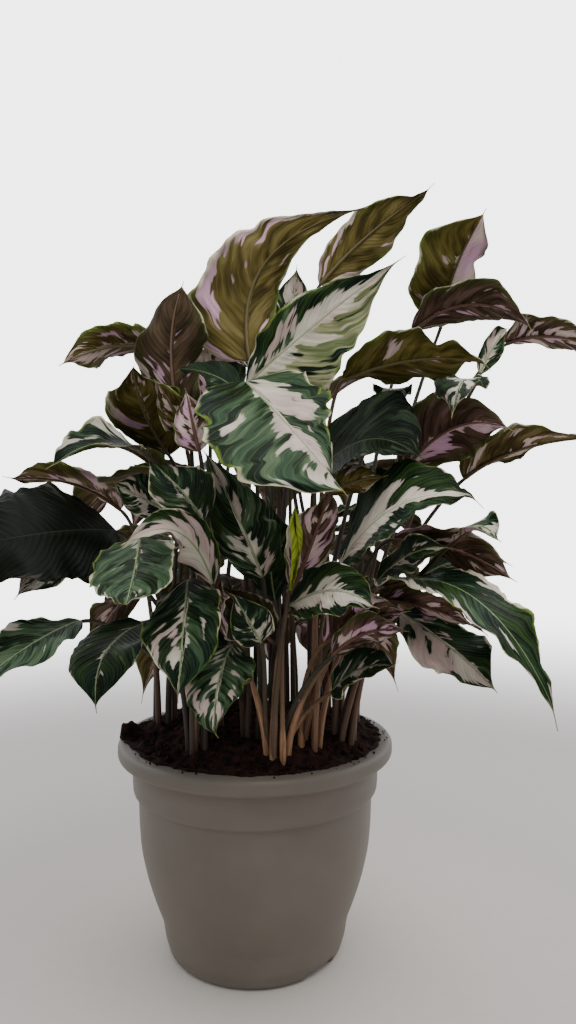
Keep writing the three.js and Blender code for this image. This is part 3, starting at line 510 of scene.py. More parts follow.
def blade_points(leaf, t, share, lift, fine=0.0):
    """Points of the blade: the midrib, plus an arc of cup radians across each half, plus the
    margin's wave. lift moves them out of the upper side. fine, as a share, adds the ruffles, a
    ragged and scalloped margin, an uneven cup and a curled tip, slims the blade towards its tip,
    and turns it about its midrib by an angle that grows from the middle to the tip."""
    t = t[:, None]
    share = share[None, :]
    side, out = blade_frame(leaf, t[..., None])
    turn = -fine * TWIST_MOST * math.sin(leaf["phase"]) * smooth(0.5, 1.05, t[..., None])
    side, out = side * np.cos(turn) + out * np.sin(turn), out * np.cos(turn) - side * np.sin(turn)
    least = HEEL_HALF + (TIP_HALF - HEEL_HALF) * t
    least = np.where(t > 0.97, np.maximum(0.35, least - 9.0 * fine * (t - 0.97)), least)
    width = leaf["wide"] * (1 + leaf["skew"] * np.sign(share))
    body = blade_share(leaf, t, share) * width * 0.5
    body = body * (1 - 0.10 * fine * smooth(0.80, 0.97, t))
    body = body * (1 + RAGGED_SHARE * fine * along_margin(leaf, t, share, RAGGED_LENGTH, 8))
    body = body * (1 + SCALLOP_SHARE * fine * along_margin(leaf, t, share, SCALLOP_LENGTH, 11))
    half = np.maximum(least, body)
    cup = leaf["cup"] * np.maximum(0.3, 1 + fine * along_margin(leaf, t, share, CUP_LENGTH, 9))
    bend = cup * np.abs(share)
    ripple = np.sin(4 * np.pi * t + leaf["phase"] + share) * np.sin(np.pi * np.clip(t, 0, 1))
    rise = half * (1 - np.cos(bend)) / cup + leaf["wave"] * share ** 2 * ripple
    if fine:
        rise = rise + fine * ruffles(leaf, t, share)
        rise = rise + fine * leaf["curl"] * smooth(0.9, 1.08, t) ** 2 * TIP_CURL
    reach = half * np.sin(bend) / cup - lift * np.sin(bend)
    spot = midrib_point(leaf, t[..., None]) + side * (np.sign(share) * reach)[..., None]
    return spot + out * (rise + lift * np.cos(bend))[..., None]


def vein_start(t, share):
    """Where on the midrib the side vein through a point starts: t less a curve of share."""
    return t - 0.30 * np.abs(share) ** 1.25


def blade_grid(leaf, rows, columns, start):
    """The fine blade as one closed skin, over the upper side and back along the underside, with
    the attributes that its material reads."""
    t = np.linspace(0, 1, rows - TIP_ROWS)
    t = np.concatenate([t, 1 + np.linspace(0.008, 0.042, TIP_ROWS)])
    share = np.linspace(1, -1, columns)
    share = np.sign(share) * np.abs(share) ** 0.92
    thin = SKIN_HALF * (1 - 0.55 * share ** 4)
    over = blade_points(leaf, t, share, thin[None, :], 1.0)
    under = blade_points(leaf, t, share[::-1], -thin[None, ::-1], 1.0)
    points = np.concatenate([over, under], axis=1)
    both = np.concatenate([share, share[::-1]])
    grid_t, grid_s = np.meshgrid(t, both, indexing="ij")
    below = np.concatenate([np.zeros(columns), np.ones(columns)])
    width = leaf["wide"] * 0.5 * np.maximum(blade_share(leaf, grid_t, grid_s), 0.05)
    # The ninth number of a look, where there is one, is painted shade: below one it paints the leaf
    # darker, as shade that falls on it, and two makes it a young yellow-green leaf
    seed, middle, first, second, tipward, pale, purple, edge, *light = leaf["look"]
    painted_shade_and_youth = light[0] if light else 1.0
    size = np.abs(grid_s)
    field = middle * (0.9 - 2.0 * size)
    field = field + np.where(grid_s > 0, first, second) * smooth(0.0, 0.12, size)
    field = field + tipward * (2 * grid_t - 1)
    veins = np.stack([vein_start(grid_t, grid_s), size + 4.0 * (grid_s > 0),
                      np.full_like(size, seed * 7.31)], axis=-1)
    marks = {
        "veins": veins.reshape(-1, 3),
        "field": field.ravel(),
        "margin": size.ravel(),
        "length": np.clip(grid_t, 0, 1.05).ravel(),
        "rib": (size * width / (0.5 + 1.5 * (1 - np.clip(grid_t, 0, 1)))).ravel(),
        "below": np.broadcast_to(below, size.shape).ravel(),
        "pale": np.where((grid_s > 0) & (pale > PALEST), DARK_HALF, pale).ravel(),
        "purple": np.full(size.size, purple),
        "edge": np.full(size.size, edge),
        "painted_shade_and_youth": np.full(size.size, painted_shade_and_youth),
    }
    count = 2 * columns
    faces = quads(len(t), count, start) + end_strips(len(t), count, start)
    return points.reshape(-1, 3), faces, marks


def stalk_points(leaf, t):
    """A cubic from the root straight up, and into the line of the midrib at the heel."""
    heel, root = leaf["heel"], leaf["root"]
    reach = np.linalg.norm(heel - root)
    rising = root + UP * reach * 0.5 + leaf["bend"]
    neck = heel - midrib_way(leaf, np.zeros(1)) * min(NECK_REACH, reach * 0.2)
    return ((1 - t) ** 3 * root + 3 * (1 - t) ** 2 * t * rising
            + 3 * (1 - t) * t ** 2 * neck + t ** 3 * heel)


def stalk_radius(t, sheath):
    """The stalk's radius up to the heel: its taper, thicker within its sheath, and a slight
    swelling just under the blade."""
    taper = STALK_FOOT + (STALK_NECK - STALK_FOOT) * t
    wrapped = (1 - smooth(sheath - 0.05, sheath + 0.01, t)) * smooth(-0.1, 0.12, t)
    wrap = 1 + SHEATH_SHARE * wrapped
    swell = 1 + SWELL_SHARE * np.exp(-((t - SWELL_AT) / 0.045) ** 2)
    return taper * wrap * swell


def stalk_grid(leaf, start):
    """A tube up the stalk and on along the midrib's underside, thinning to the tip."""
    t = np.linspace(0, 1, STALK_ROWS)[:, None]
    path = stalk_points(leaf, t)
    ribs = np.linspace(0, RIB_END, RIB_ROWS)[1:, None]
    side, out = blade_frame(leaf, ribs)
    thick = RIB_HEEL * (1 - ribs) ** 0.8 + RIB_TIP
    rib_path = midrib_point(leaf, ribs) - out * (thick * 0.96 + 0.1)
    ease = smooth(0.80, 1.0, t)
    heel_out = blade_frame(leaf, np.zeros((1, 1)))[1]
    path = path - heel_out * ease * 2.0
    spine = np.concatenate([path, rib_path])
    radius = np.concatenate([stalk_radius(t, leaf["sheath"]), thick])
    along = unit(np.gradient(spine, axis=0))
    level = blade_frame(leaf, np.zeros((1, 1)))[0][0]
    sides = np.empty_like(spine)
    for k in range(STALK_ROWS - 1, -1, -1):
        level = unit(level - along[k] * np.dot(level, along[k]))
        sides[k] = level
    sides[STALK_ROWS:] = side
    outs = np.cross(along, sides)
    turn = turns_round(STALK_SIDES)[None, :, None]
    ring = sides[:, None] * np.cos(turn) + outs[:, None] * np.sin(turn)
    climb = np.concatenate([t, 1 + ribs])
    flutes = 1 + 0.05 * np.sin(3 * turn + 5 * climb[:, None])
    points = spine[:, None] + ring * radius[:, None] * flutes
    size = np.broadcast_to(climb[:, None], points.shape[:2] + (1,)).reshape(-1)
    marks = {
        "climb": size,
        "turning": np.broadcast_to(turn, points.shape[:2] + (1,)).reshape(-1),
        "sheath": np.full(size.size, leaf["sheath"]),
        "tint_and_painted_shade": np.full(size.size, leaf["tint_and_painted_shade"]),
        "purple": np.full(size.size, leaf["look"][6]),
    }
    faces = quads(len(spine), STALK_SIDES, start) + end_caps(len(spine), STALK_SIDES, start)
    return points.reshape(-1, 3), faces, marks


# The rows of all the leaves, with the shift and the bend that each solid has

def tier_row(tier, number, host):
    """A leaf of a sheaf: its direction by its number, its height and reach by its tier."""
    height, away, reach, rise, wide, fall = tier
    turn = math.radians(SHEAF_FROM + (SHEAF_TO - SHEAF_FROM) * number / (SHEAF_COUNT - 1))
    ray = np.array([math.cos(turn), math.sin(turn), 0.0])
    lift = height + SHEAF_SWAY * math.sin(7 * number + height) - fall * (1 - math.sin(turn))
    heel = ray * away + UP * lift
    tip = heel + ray * reach + UP * rise
    mid = (heel + tip) / 2 + UP * SHEAF_ARCH
    face = (0.6 * ray[0], 0.6 * ray[1], 0.8)
    seed = SHEAF_SEED + 2 * number + (1 if host else 0)
    pick = np.sin(seed * np.array([12.9, 78.2, 37.7, 54.1]))
    look = (seed, 0.15 + 0.35 * pick[0], -0.25 + 0.35 * pick[1], -0.25 + 0.35 * pick[2],
            0.0, 0.55 + 0.3 * pick[3], 0.6 + 0.35 * pick[1], 0.4 + 0.25 * pick[2])
    crown = host or SHEAF_CROWNS[number]
    return crown, heel, mid, tip, wide, face, SHEAF_CUP, SHEAF_WAVE, PLAIN, True, look


def all_rows():
    """The table's rows, then a lower and an upper leaf for each sheaf, then the partners. A row
    starts with its crown's letter, or with its host's number."""
    rows = list(LEAVES)
    for k in range(SHEAF_COUNT):
        rows.append(tier_row(LOWER_TIERS[k % 2], k, None))
        rows.append(tier_row(UPPER_TIERS[k % 2], k, len(LEAVES) + k + 1))
    return rows + PARTNERS


def ring_turn(taken, toward):
    """The free place of a crown's ring that faces a heel the most, as an angle."""
    nearest = math.floor(toward / (2 * math.pi) * RING_PLACES + 0.5)
    places = [(nearest + step + 2 * RING_PLACES) % RING_PLACES for step in (0, 1, -1, 2, -2, 3)]
    place = next(p for p in places if p not in taken)
    taken.append(place)
    return 2 * math.pi * place / RING_PLACES


def shifts():
    """Every shift that the source tries, none first."""
    steps = [np.array(way) * step for step in SHIFT_STEPS for way in SHIFT_WAYS]
    return np.array([np.zeros(3)] + steps)


def bends():
    """Every side step that the source tries, none first."""
    found = [np.zeros(3)]
    for step in BEND_STEPS:
        for k in range(BEND_TURNS):
            turn = 2 * math.pi * k / BEND_TURNS
            found.append(np.array([step * math.cos(turn), step * math.sin(turn), 0.0]))
    return found


def solid_points(node):
    """The points of a frame node, in millimetres."""
    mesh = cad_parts[node].data
    flat = np.empty(len(mesh.vertices) * 3, dtype=np.float32)
    mesh.vertices.foreach_get("co", flat)
    return flat.reshape(-1, 3).astype(float) / MM


def gap(points, cloud_points):
    """From each point to the nearest of the others."""
    far = np.linalg.norm(points[:, None] - cloud_points[None], axis=-1)
    return far.min(axis=1)


def found_shift(leaf, solid):
    """The shift whose tip ring lies on the solid's points."""
    share = np.array([1, 0.5, 0, -0.5, -1])
    ring = np.concatenate([blade_points(leaf, np.ones(1), share, CAD_LIFT)[0],
                           blade_points(leaf, np.ones(1), share, -CAD_LIFT)[0]])
    tried = shifts()
    return tried[int(np.argmin([gap(ring + step, solid).mean() for step in tried]))]


def found_bend(leaf, solid):
    """The side step whose halfway ring of the stalk has four points of the solid round it, all as
    far off as the stalk is thick."""
    radius = (STALK_FOOT + STALK_NECK) / 2
    best, best_miss = None, math.inf
    for bend in bends():
        leaf["bend"] = bend
        middle = stalk_points(leaf, np.array([[0.5]]))[0]
        far = np.sort(np.linalg.norm(solid - middle, axis=-1))[:4]
        miss = np.abs(far - radius).mean()
        if miss < best_miss:
            best, best_miss = bend, miss
    return best


def all_leaves():
    """Every leaf as a dict, grouped by the node that it belongs to."""
    groups = {}
    taken = {}
    places = []
    for index, row in enumerate(all_rows()):
        crown, heel, mid, tip, wide, face, cup, wave, form, coarse, look = row
        heel, mid, tip = (np.array(p, dtype=float) for p in (heel, mid, tip))
        step = STALK_RING
        if isinstance(crown, int):
            number = crown
            step = STALK_RING - SHEAF_SPLIT
        else:
            x, y = CROWNS[crown]
            turn = ring_turn(taken.setdefault(crown, []), math.atan2(heel[1] - y, heel[0] - x))
            places.append((np.array([x, y, HOLE_FLOOR]), turn))
            number = len(places)
        start, turn = places[number - 1]
        root = start + step * np.array([math.cos(turn), math.sin(turn), 0.0])
        node = f"leaf_{number:02d}"
        skew, halves = form[0], (form[1:3], form[-2:])
        chance = math.sin(index * 91.7) * 0.5 + 0.5
        leaf = {
            "heel": heel, "mid": mid, "tip": tip, "wide": wide, "face": np.array(face, dtype=float),
            "cup": math.radians(cup), "wave": wave, "skew": skew, "halves": halves,
            "phase": PHASE_STEP * index, "look": look, "root": root, "coarse": coarse,
            "length": np.linalg.norm(tip - mid) + np.linalg.norm(mid - heel),
            "bend": np.zeros(3), "frill": 2.2 + 1.6 * chance,
            "curl": math.sin(index * 5.1), "sheath": 0.34 + 0.16 * math.sin(index * 3.3),
            # The stalks of crowns a and c, at the front, are tan and the others dark brown: partly
            # the stalks' own colour, partly painted shade inside the bush
            "tint_and_painted_shade": (0.75 if crown in ("a", "c") else 0.1) + 0.2 * math.sin(index * 17.0),
        }
        solid = solid_points(node)
        shift = found_shift(leaf, solid)
        for key in ("heel", "mid", "tip"):
            leaf[key] = leaf[key] + shift
        leaf["bend"] = found_bend(leaf, solid)
        leaf["quilt"] = QUILT_SHARE * leaf["length"]
        groups.setdefault(node, []).append(leaf)
    return groups


def joined(parts):
    """Several skins as one: their points, faces and attributes, one after another."""
    points = np.concatenate([p for p, _, _ in parts])
    faces = [face for _, some, _ in parts for face in some]
    marks = {key: np.concatenate([m[key] for _, _, m in parts]) for key in parts[0][2]}
    return points, faces, marks


def make_leaves(leaf_material, stalk_material):
    """A blade piece and a stalk piece for each leaf node."""
    for node, members in all_leaves().items():
        blades, stalks = [], []
        for leaf in members:
            finer = FRONT_SHARE if node == "leaf_01" else COARSE_SHARE if leaf["coarse"] else 1.0
            rows, columns = int(BLADE_ROWS * finer), int(BLADE_COLUMNS * finer) // 2 * 2 + 1
            blades.append(blade_grid(leaf, rows, columns, sum(len(p) for p, _, _ in blades)))
            stalks.append(stalk_grid(leaf, sum(len(p) for p, _, _ in stalks)))
        points, faces, marks = joined(blades)
        blade = piece_from(f"{node}_blade", points, faces, leaf_material, "leaf", marks)
        points, faces, marks = joined(stalks)
        stalk = piece_from(f"{node}_stalk", points, faces, stalk_material, "stalk", marks)
        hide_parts(node)
        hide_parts(node)


# The pot

def rounded(profile, size):
    """A profile with each corner cut to a short three-point curve."""
    profile = np.array(profile, dtype=float)
    out = [profile[0]]
    for before, here, after in zip(profile, profile[1:], profile[2:]):
        first, second = before - here, after - here
        near = min(size, 0.35 * np.linalg.norm(first), 0.35 * np.linalg.norm(second))
        a, b = here + unit(first) * near, here + unit(second) * near
        out += [a, 0.25 * a + 0.5 * here + 0.25 * b, b]
    out.append(profile[-1])
    return np.array(out)


def pot_rings():
    """Rings of the pot: its rounded profile turned, with the foot pushed in at the notches."""
    outside = rounded(POT_PROFILE[:POT_OUTSIDE], POT_CORNER)
    profile = np.concatenate([outside, rounded(POT_PROFILE[POT_OUTSIDE - 1:], POT_CORNER)[1:]])
    turns = list(turns_round(POT_PLACES))
    edge = NOTCH_WIDTH / 2 / FOOT_RADIUS
    for k in range(NOTCH_COUNT):
        middle = NOTCH_TURN + 2 * math.pi * k / NOTCH_COUNT
        for end in (-edge, edge):
            turns += [(middle + end * s) % (2 * math.pi) for s in (0.99, 1.01)]
    turns = np.array(sorted(turns))
    spacing = 2 * math.pi / NOTCH_COUNT
    off = np.abs((turns - NOTCH_TURN + spacing / 2) % spacing - spacing / 2)
    radius = np.repeat(profile[:, :1], len(turns), axis=1)
    height = np.repeat(profile[:, 1:], len(turns), axis=1)
    outer = np.arange(len(profile))[:, None] < len(outside)
    inside = (off[None, :] < edge) & (height < NOTCH_TOP) & outer
    radius = np.where(inside, np.minimum(radius, NOTCH_RADIUS), radius)
    return np.stack([radius * np.cos(turns), radius * np.sin(turns), height], axis=-1)


# The peat

def peat_height(x, y):
    """The heap of the source: an edge, a swell towards the middle, and low bumps."""
    out = np.minimum(1.0, np.hypot(x, y) / PEAT_RADIUS)
    bumps = np.sin(x / 17 + 1) * np.cos(y / 14) + np.sin((x + y) / 23)
    return PEAT_EDGE + PEAT_HEAP * (1 - out ** 3) + PEAT_BUMP * bumps * (1 - out ** 6)


def peat_rings():
    """Rings of the peat from under it, round its ragged edge on the lip and in over the heap,
    with crumbly relief, raised at the crowns and in a clump at the left."""
    turns = turns_round(PEAT_PLACES)
    spread = np.stack([np.cos(turns) * 3, np.sin(turns) * 3, 0 * turns], axis=-1)
    ragged = cloud(spread * 4, 11, 4)
    clump = np.exp(-(((turns - CLUMP_TURN) / 0.22) ** 2))
    reach = PEAT_REACH + 3.0 * ragged + 12 * clump
    shares = np.linspace(1, 0.03, 92)
    radius = reach[None, :] * shares[:, None]
    x, y = radius * np.cos(turns), radius * np.sin(turns)
    crumb = cloud(np.stack([x / 9, y / 9, 0 * x], axis=-1), 3, 5)
    coarse = noise(np.stack([x / 26, y / 26, 0 * x], axis=-1), 8)
    height = peat_height(x, y) + 3.4 * crumb + 4.2 * coarse + 1.0
    for cx, cy in CROWNS.values():
        height = height + 5 * np.exp(-((x - cx) ** 2 + (y - cy) ** 2) / 22 ** 2)
    lip = smooth(0.9, 1.0, shares)[:, None]
    height = height * (1 - lip) + (LIP_HEIGHT + 1.2 * ragged[None, :]) * lip
    far = np.hypot(x - CLUMP_AT[0], y - CLUMP_AT[1])
    height = height + (15 + 5 * crumb) * np.exp(-(far / 12) ** 2)
    height[0] = LIP_UNDER
    top = np.stack([x, y, height], axis=-1)
    foot = []
    for r, z in PEAT_FOOT:
        foot.append(np.stack([r * np.cos(turns), r * np.sin(turns), z + 0 * turns], axis=-1))
    crest = np.array([0, 0, peat_height(0.0, 0.0) + 3.0])
    peak = np.broadcast_to(crest, (1, PEAT_PLACES, 3))
    return np.concatenate([np.array(foot), top, peak])


def crumb_points():
    """Crumbs of peat: small eight-sided lumps with their corners and edge middles pushed about,
    scattered over the heap and, fewer, on the lip."""
    rng = np.random.default_rng(7)
    corners = np.array([(1, 0, 0), (0, 1, 0), (-1, 0, 0), (0, -1, 0), (0, 0, 1), (0, 0, -1)], float)
    belt = [(0, 1), (1, 2), (2, 3), (3, 0)]
    edges = belt + [(k, 4) for k in range(4)] + [(k, 5) for k in range(4)]
    middles = unit(np.array([corners[a] + corners[b] for a, b in edges]))
    lump = np.concatenate([corners, middles])
    faces = []
    for k in range(4):
        n = (k + 1) % 4
        b, a_up, n_up, a_low, n_low = 6 + k, 10 + k, 10 + n, 14 + k, 14 + n
        faces += [(k, b, a_up), (b, n, n_up), (a_up, b, n_up), (a_up, n_up, 4)]
        faces += [(k, a_low, b), (b, n_low, n), (a_low, n_low, b), (a_low, 5, n_low)]
    count, loose = CRUMB_COUNT, LIP_CRUMBS
    turn = rng.uniform(0, 2 * np.pi, count)
    far = 151 * np.sqrt(rng.uniform(0, 1, count))
    far[:loose] = rng.uniform(149, 158, loose)
    x, y = far * np.cos(turn), far * np.sin(turn)
    z = peat_height(x, y) + 1.5
    z[:loose] = 249.6
    size = 0.7 + 3.2 * rng.uniform(0, 1, count) ** 3
    size[:loose] = 0.5 + 0.6 * rng.uniform(0, 1, loose)
    wobble = 1 + 0.35 * rng.uniform(-1, 1, (count, 18, 1))
    stretch = rng.uniform(0.6, 1.5, (count, 1, 3))
    points = lump[None] * wobble * stretch * size[:, None, None]
    points = points + np.stack([x, y, z], axis=-1)[:, None]
    faces = np.array(faces)[None] + 18 * np.arange(count)[:, None, None]
    return points.reshape(-1, 3), faces.reshape(-1, 3).tolist()


# Materials

def colour(red, green, blue):
    """A colour of 0 to 255 as the eye sees it, made linear."""
    seen = np.array([red, green, blue]) / 255.0
    linear = np.where(seen < 0.04045, seen / 12.92, ((seen + 0.055) / 1.055) ** 2.4)
    return tuple(linear) + (1.0,)


class Nodes:
    """A material's node tree with short calls that add a node and link its inputs."""

    def __init__(self, name):
        self.material = bpy.data.materials.new(name)
        self.material.use_nodes = True
        self.tree = self.material.node_tree
        self.shader = self.tree.nodes["Principled BSDF"]

    def put(self, socket, value):
        if isinstance(value, bpy.types.NodeSocket):
            self.tree.links.new(value, socket)
        else:
            socket.default_value = value

    def math(self, operation, *values):
        node = self.tree.nodes.new("ShaderNodeMath")
        node.operation = operation
        for socket, value in zip(node.inputs, values):
            self.put(socket, value)
        return node.outputs[0]

    def plus(self, first, second):
        return self.math("ADD", first, second)

    def minus(self, first, second):
        return self.math("SUBTRACT", first, second)

    def times(self, first, second):
        return self.math("MULTIPLY", first, second)

    def attribute(self, name, vector=False):
        node = self.tree.nodes.new("ShaderNodeAttribute")
        node.attribute_name = name
        return node.outputs["Vector"] if vector else node.outputs["Fac"]

    def scaled(self, vector, scale, offset=(0, 0, 0)):
        """A place stretched by scale, then moved by offset."""
        node = self.tree.nodes.new("ShaderNodeMapping")
        self.put(node.inputs["Vector"], vector)
        node.inputs["Scale"].default_value = scale
        node.inputs["Location"].default_value = offset
        return node.outputs[0]

    def noise(self, vector, scale=1.0, detail=2.0, rough=0.5):
        node = self.tree.nodes.new("ShaderNodeTexNoise")
        self.put(node.inputs["Vector"], vector)
        node.inputs["Scale"].default_value = scale
        node.inputs["Detail"].default_value = detail
        node.inputs["Roughness"].default_value = rough
        return node.outputs[0]

    def step(self, value, low, high, first=0.0, last=1.0):
        """First below low, last above high, and an S-shaped way between them."""
        node = self.tree.nodes.new("ShaderNodeMapRange")
        node.interpolation_type = "SMOOTHSTEP"
        for socket, item in zip(node.inputs, (value, low, high, first, last)):
            self.put(socket, item)
        return node.outputs[0]

    def blend(self, factor, first, second):
        """Two colours mixed by a factor. A colour is a link, or red, green and blue to 255."""
        node = self.tree.nodes.new("ShaderNodeMix")
        node.data_type = "RGBA"
        for index, item in ((0, factor), (6, first), (7, second)):
            self.put(node.inputs[index], colour(*item) if isinstance(item, tuple) else item)
        return node.outputs[2]

    def bump(self, height, strength, distance):
        node = self.tree.nodes.new("ShaderNodeBump")
        self.put(node.inputs["Height"], height)
        node.inputs["Strength"].default_value = strength
        node.inputs["Distance"].default_value = distance
        self.put(self.shader.inputs["Normal"], node.outputs[0])

    def object_place(self):
        return self.tree.nodes.new("ShaderNodeTexCoord").outputs["Object"]

    def finish(self, **sockets):
        """The material, with these sockets of its shader set or linked."""
        for name, value in sockets.items():
            self.put(self.shader.inputs[name.replace("_", " ")], value)
        return self.material


def leaf_finish():
    """The blade: greens, a greyer half tone, cream sectors with feathered ends along the side
    veins, a pale margin and midrib, and the same pattern in olive, purple and pink below. Below
    one, the painted shade darkens the whole leaf, as shade that falls on it; at two the leaf is all
    yellow-green, as a young leaf is."""
    n = Nodes("calathea_leaf")
    veins = n.attribute("veins", vector=True)
    names = ("field", "margin", "length", "below", "pale", "purple", "edge", "rib", "painted_shade_and_youth")
    field, margin, length, below, pale, purple, edge, rib, painted_shade_and_youth = map(n.attribute, names)

    def grain(detail, rough, scale, offset=(0, 0, 0)):
        """Noise that runs along the side veins."""
        return n.noise(n.scaled(veins, scale, offset), 1.0, detail, rough)

    broad = grain(1.0, 0.4, (2.6, 0.7, 1.0), (11.0, 0, 2))
    sectors = grain(1.6, 0.4, (6.0, 1.9, 1.0))
    feather = grain(2.0, 0.55, (22.0, 1.3, 1.0))
    streaks = grain(2.0, 0.5, (12.0, 1.5, 1.0), (3.1, 0, 5))
    fine = grain(2.0, 0.6, (85.0, 5.0, 1.0), (7.7, 0, 9))

    def shaped(value, height):
        """Noise about zero, times a height."""
        return n.times(n.minus(value, 0.5), height)

    level = n.plus(field, shaped(sectors, 2.5))
    jagged = n.plus(shaped(feather, 1.3), shaped(fine, 0.2))
    marbled = n.plus(level, jagged)
    cream = n.step(marbled, 0.02, 0.13)
    cream = n.times(cream, n.step(marbled, 0.05, 0.6, 0.74, 1.0))
    half_level = n.plus(n.times(level, 0.35), shaped(streaks, 3.0))
    half_level = n.plus(half_level, n.times(jagged, 0.5))
    threshold = n.minus(0.62, pale)
    half = n.step(n.minus(half_level, threshold), -0.05, 0.16)
    greyed = n.step(n.plus(shaped(streaks, 2.2), shaped(feather, 0.8)), 0.05, 0.75)

    deep = n.blend(n.step(broad, 0.40, 0.60), (9, 24, 17), (14, 28, 11))
    light = n.blend(n.step(broad, 0.40, 0.60), (24, 48, 34), (40, 62, 25))
    green = n.blend(n.step(streaks, 0.38, 0.64), deep, light)
    green = n.blend(n.step(fine, 0.45, 0.75, 0.0, 0.3), green, (38, 62, 36))
    sage = n.blend(n.step(feather, 0.4, 0.65), (48, 74, 50), (92, 112, 82))
    wan = n.blend(n.step(feather, 0.4, 0.6), (118, 128, 84), (172, 172, 130))
    sage = n.blend(n.step(pale, 0.92, 1.0), sage, wan)
    white = n.blend(n.step(broad, 0.46, 0.64), (228, 219, 200), (214, 188, 180))
    white = n.blend(n.times(greyed, 0.8), white, (170, 174, 166))
    top = n.blend(n.times(half, 0.8), green, sage)
    top = n.blend(cream, top, white)

    olive = n.blend(n.step(streaks, 0.35, 0.65), (68, 59, 25), (118, 108, 50))
    dusky = n.blend(n.step(streaks, 0.35, 0.65), (50, 36, 33), (92, 66, 64))
    base = n.blend(purple, olive, dusky)
    lit = n.blend(purple, (136, 124, 78), (130, 98, 108))
    pink = n.blend(n.step(broad, 0.42, 0.60), (238, 214, 204), (232, 184, 212))
    pink = n.blend(n.times(greyed, 0.4), pink, (172, 132, 150))
    bottom = n.blend(n.times(half, 0.4), base, lit)
    bottom = n.blend(cream, bottom, pink)

    rim = n.plus(margin, shaped(feather, 0.22))
    line = n.step(rim, n.minus(1.0, n.times(edge, 0.13)), 0.995)
    rim_colour = n.blend(n.step(sectors, 0.42, 0.56), (104, 126, 46), (222, 214, 180))
    rim_share = n.times(line, n.step(edge, 0.05, 0.5))
    bottom = n.blend(n.step(rim, 0.6, 1.0, 0.0, 0.6), bottom, (66, 82, 30))
    top = n.blend(rim_share, top, rim_colour)
    bottom = n.blend(rim_share, bottom, rim_colour)

    midrib = n.step(rib, 0.25, 0.8, 1.0, 0.0)
    top = n.blend(n.times(midrib, 0.85), top, (142, 164, 112))
    bottom = n.blend(midrib, bottom, n.blend(purple, (84, 80, 34), (104, 60, 56)))
    tip = n.step(length, 0.965, 1.01)
    top = n.blend(tip, top, (150, 150, 84))
    bottom = n.blend(tip, bottom, (150, 150, 84))

    start = n.tree.nodes.new("ShaderNodeSeparateXYZ")
    n.put(start.inputs[0], veins)
    wave = n.math("COSINE", n.times(start.outputs[0], 2 * math.pi * VEIN_COUNT))
    thin = n.math("COSINE", n.times(start.outputs[0], 2 * math.pi * THIN_COUNT))
    vein = n.step(wave, 0.86, 1.0)
    top = n.blend(n.times(vein, 0.12), top, (150, 168, 120))
    bottom = n.blend(n.times(vein, 0.25), bottom, (128, 108, 84))

    relief = n.plus(n.times(wave, 0.5), n.times(thin, 0.16))
    relief = n.plus(relief, n.times(midrib, -2.0))
    relief = n.plus(relief, shaped(fine, 0.8))
    n.bump(relief, 0.5, 0.0007)
    rough = n.plus(n.step(below, 0.4, 0.6, 0.37, 0.6), shaped(feather, 0.14))
    seen = n.blend(n.step(below, 0.45, 0.55), top, bottom)
    # Painted shade: below one the leaf is mixed towards a near black green, as shade that falls on
    # it; at two it turns the yellow-green of a young leaf
    seen = n.blend(painted_shade_and_youth, (5, 9, 3), seen)
    fresh = n.blend(n.step(feather, 0.4, 0.6), (120, 140, 34), (168, 180, 66))
    seen = n.blend(n.step(painted_shade_and_youth, 1.2, 1.8), seen, fresh)
    return n.finish(Base_Color=seen, Roughness=rough, Specular_IOR_Level=0.07)


def stalk_finish():
    """The stalk: tan to reddish brown in its sheath, olive to brown above, streaked along."""
    n = Nodes("calathea_stalk")
    names = ("climb", "sheath", "tint_and_painted_shade", "purple", "turning")
    climb, sheath, tint_and_painted_shade, purple, turning = map(n.attribute, names)
    joiner = n.tree.nodes.new("ShaderNodeCombineXYZ")
    for socket, value in zip(joiner.inputs, (n.times(climb, 3.0), turning, tint_and_painted_shade)):
        n.put(socket, value)
    streak = n.noise(n.scaled(joiner.outputs[0], (2.0, 3.0, 9.0)), 1.0, 3.0, 0.6)
    mottle = n.noise(n.object_place(), 240.0, 3.0, 0.6)
    wrapped = n.step(n.minus(sheath, climb), -0.03, 0.02)
    # Tan stalks at the two front crowns, dark brown ones behind them: partly their own colour,
    # partly painted shade inside the bush
    husk = n.blend(tint_and_painted_shade, (50, 39, 28), (178, 132, 94))
    husk = n.blend(n.step(streak, 0.35, 0.65, 0.6, 0.0), husk, (34, 25, 20))
    fresh = n.blend(tint_and_painted_shade, (42, 46, 26), (128, 95, 66))
    fresh = n.blend(n.step(streak, 0.4, 0.7, 0.0, 0.6), fresh, (44, 38, 26))
    rib = n.blend(purple, (96, 88, 44), (104, 64, 58))
    seen = n.blend(wrapped, fresh, husk)
    seen = n.blend(n.step(climb, 0.97, 1.06), seen, rib)
    seen = n.blend(n.step(climb, 0.0, 0.10, 0.6, 0.0), seen, (48, 32, 24))
    seen = n.blend(n.step(mottle, 0.5, 0.8, 0.0, 0.35), seen, (66, 46, 34))
    n.bump(n.plus(streak, n.times(mottle, 0.3)), 0.45, 0.0006)
    return n.finish(Base_Color=seen, Roughness=0.55)


def pot_finish():
    """Matt taupe plastic: a faint moulded grain, with dusty and slightly scuffed patches."""
    n = Nodes("pot_plastic")
    place = n.object_place()
    cloudy = n.noise(place, 9.0, 4.0, 0.6)
    grain = n.noise(place, 900.0, 2.0, 0.6)
    scuff = n.noise(n.scaled(place, (1.0, 1.0, 6.0)), 46.0, 5.0, 0.65)
    seen = n.blend(n.step(cloudy, 0.35, 0.7), (100, 93, 83), (108, 101, 91))
    seen = n.blend(n.step(scuff, 0.62, 0.78, 0.0, 0.22), seen, (132, 127, 117))
    rough = n.step(cloudy, 0.3, 0.7, 0.42, 0.54)
    n.bump(n.plus(grain, n.times(cloudy, 2.0)), 0.18, 0.0004)
    return n.finish(Base_Color=seen, Roughness=rough)


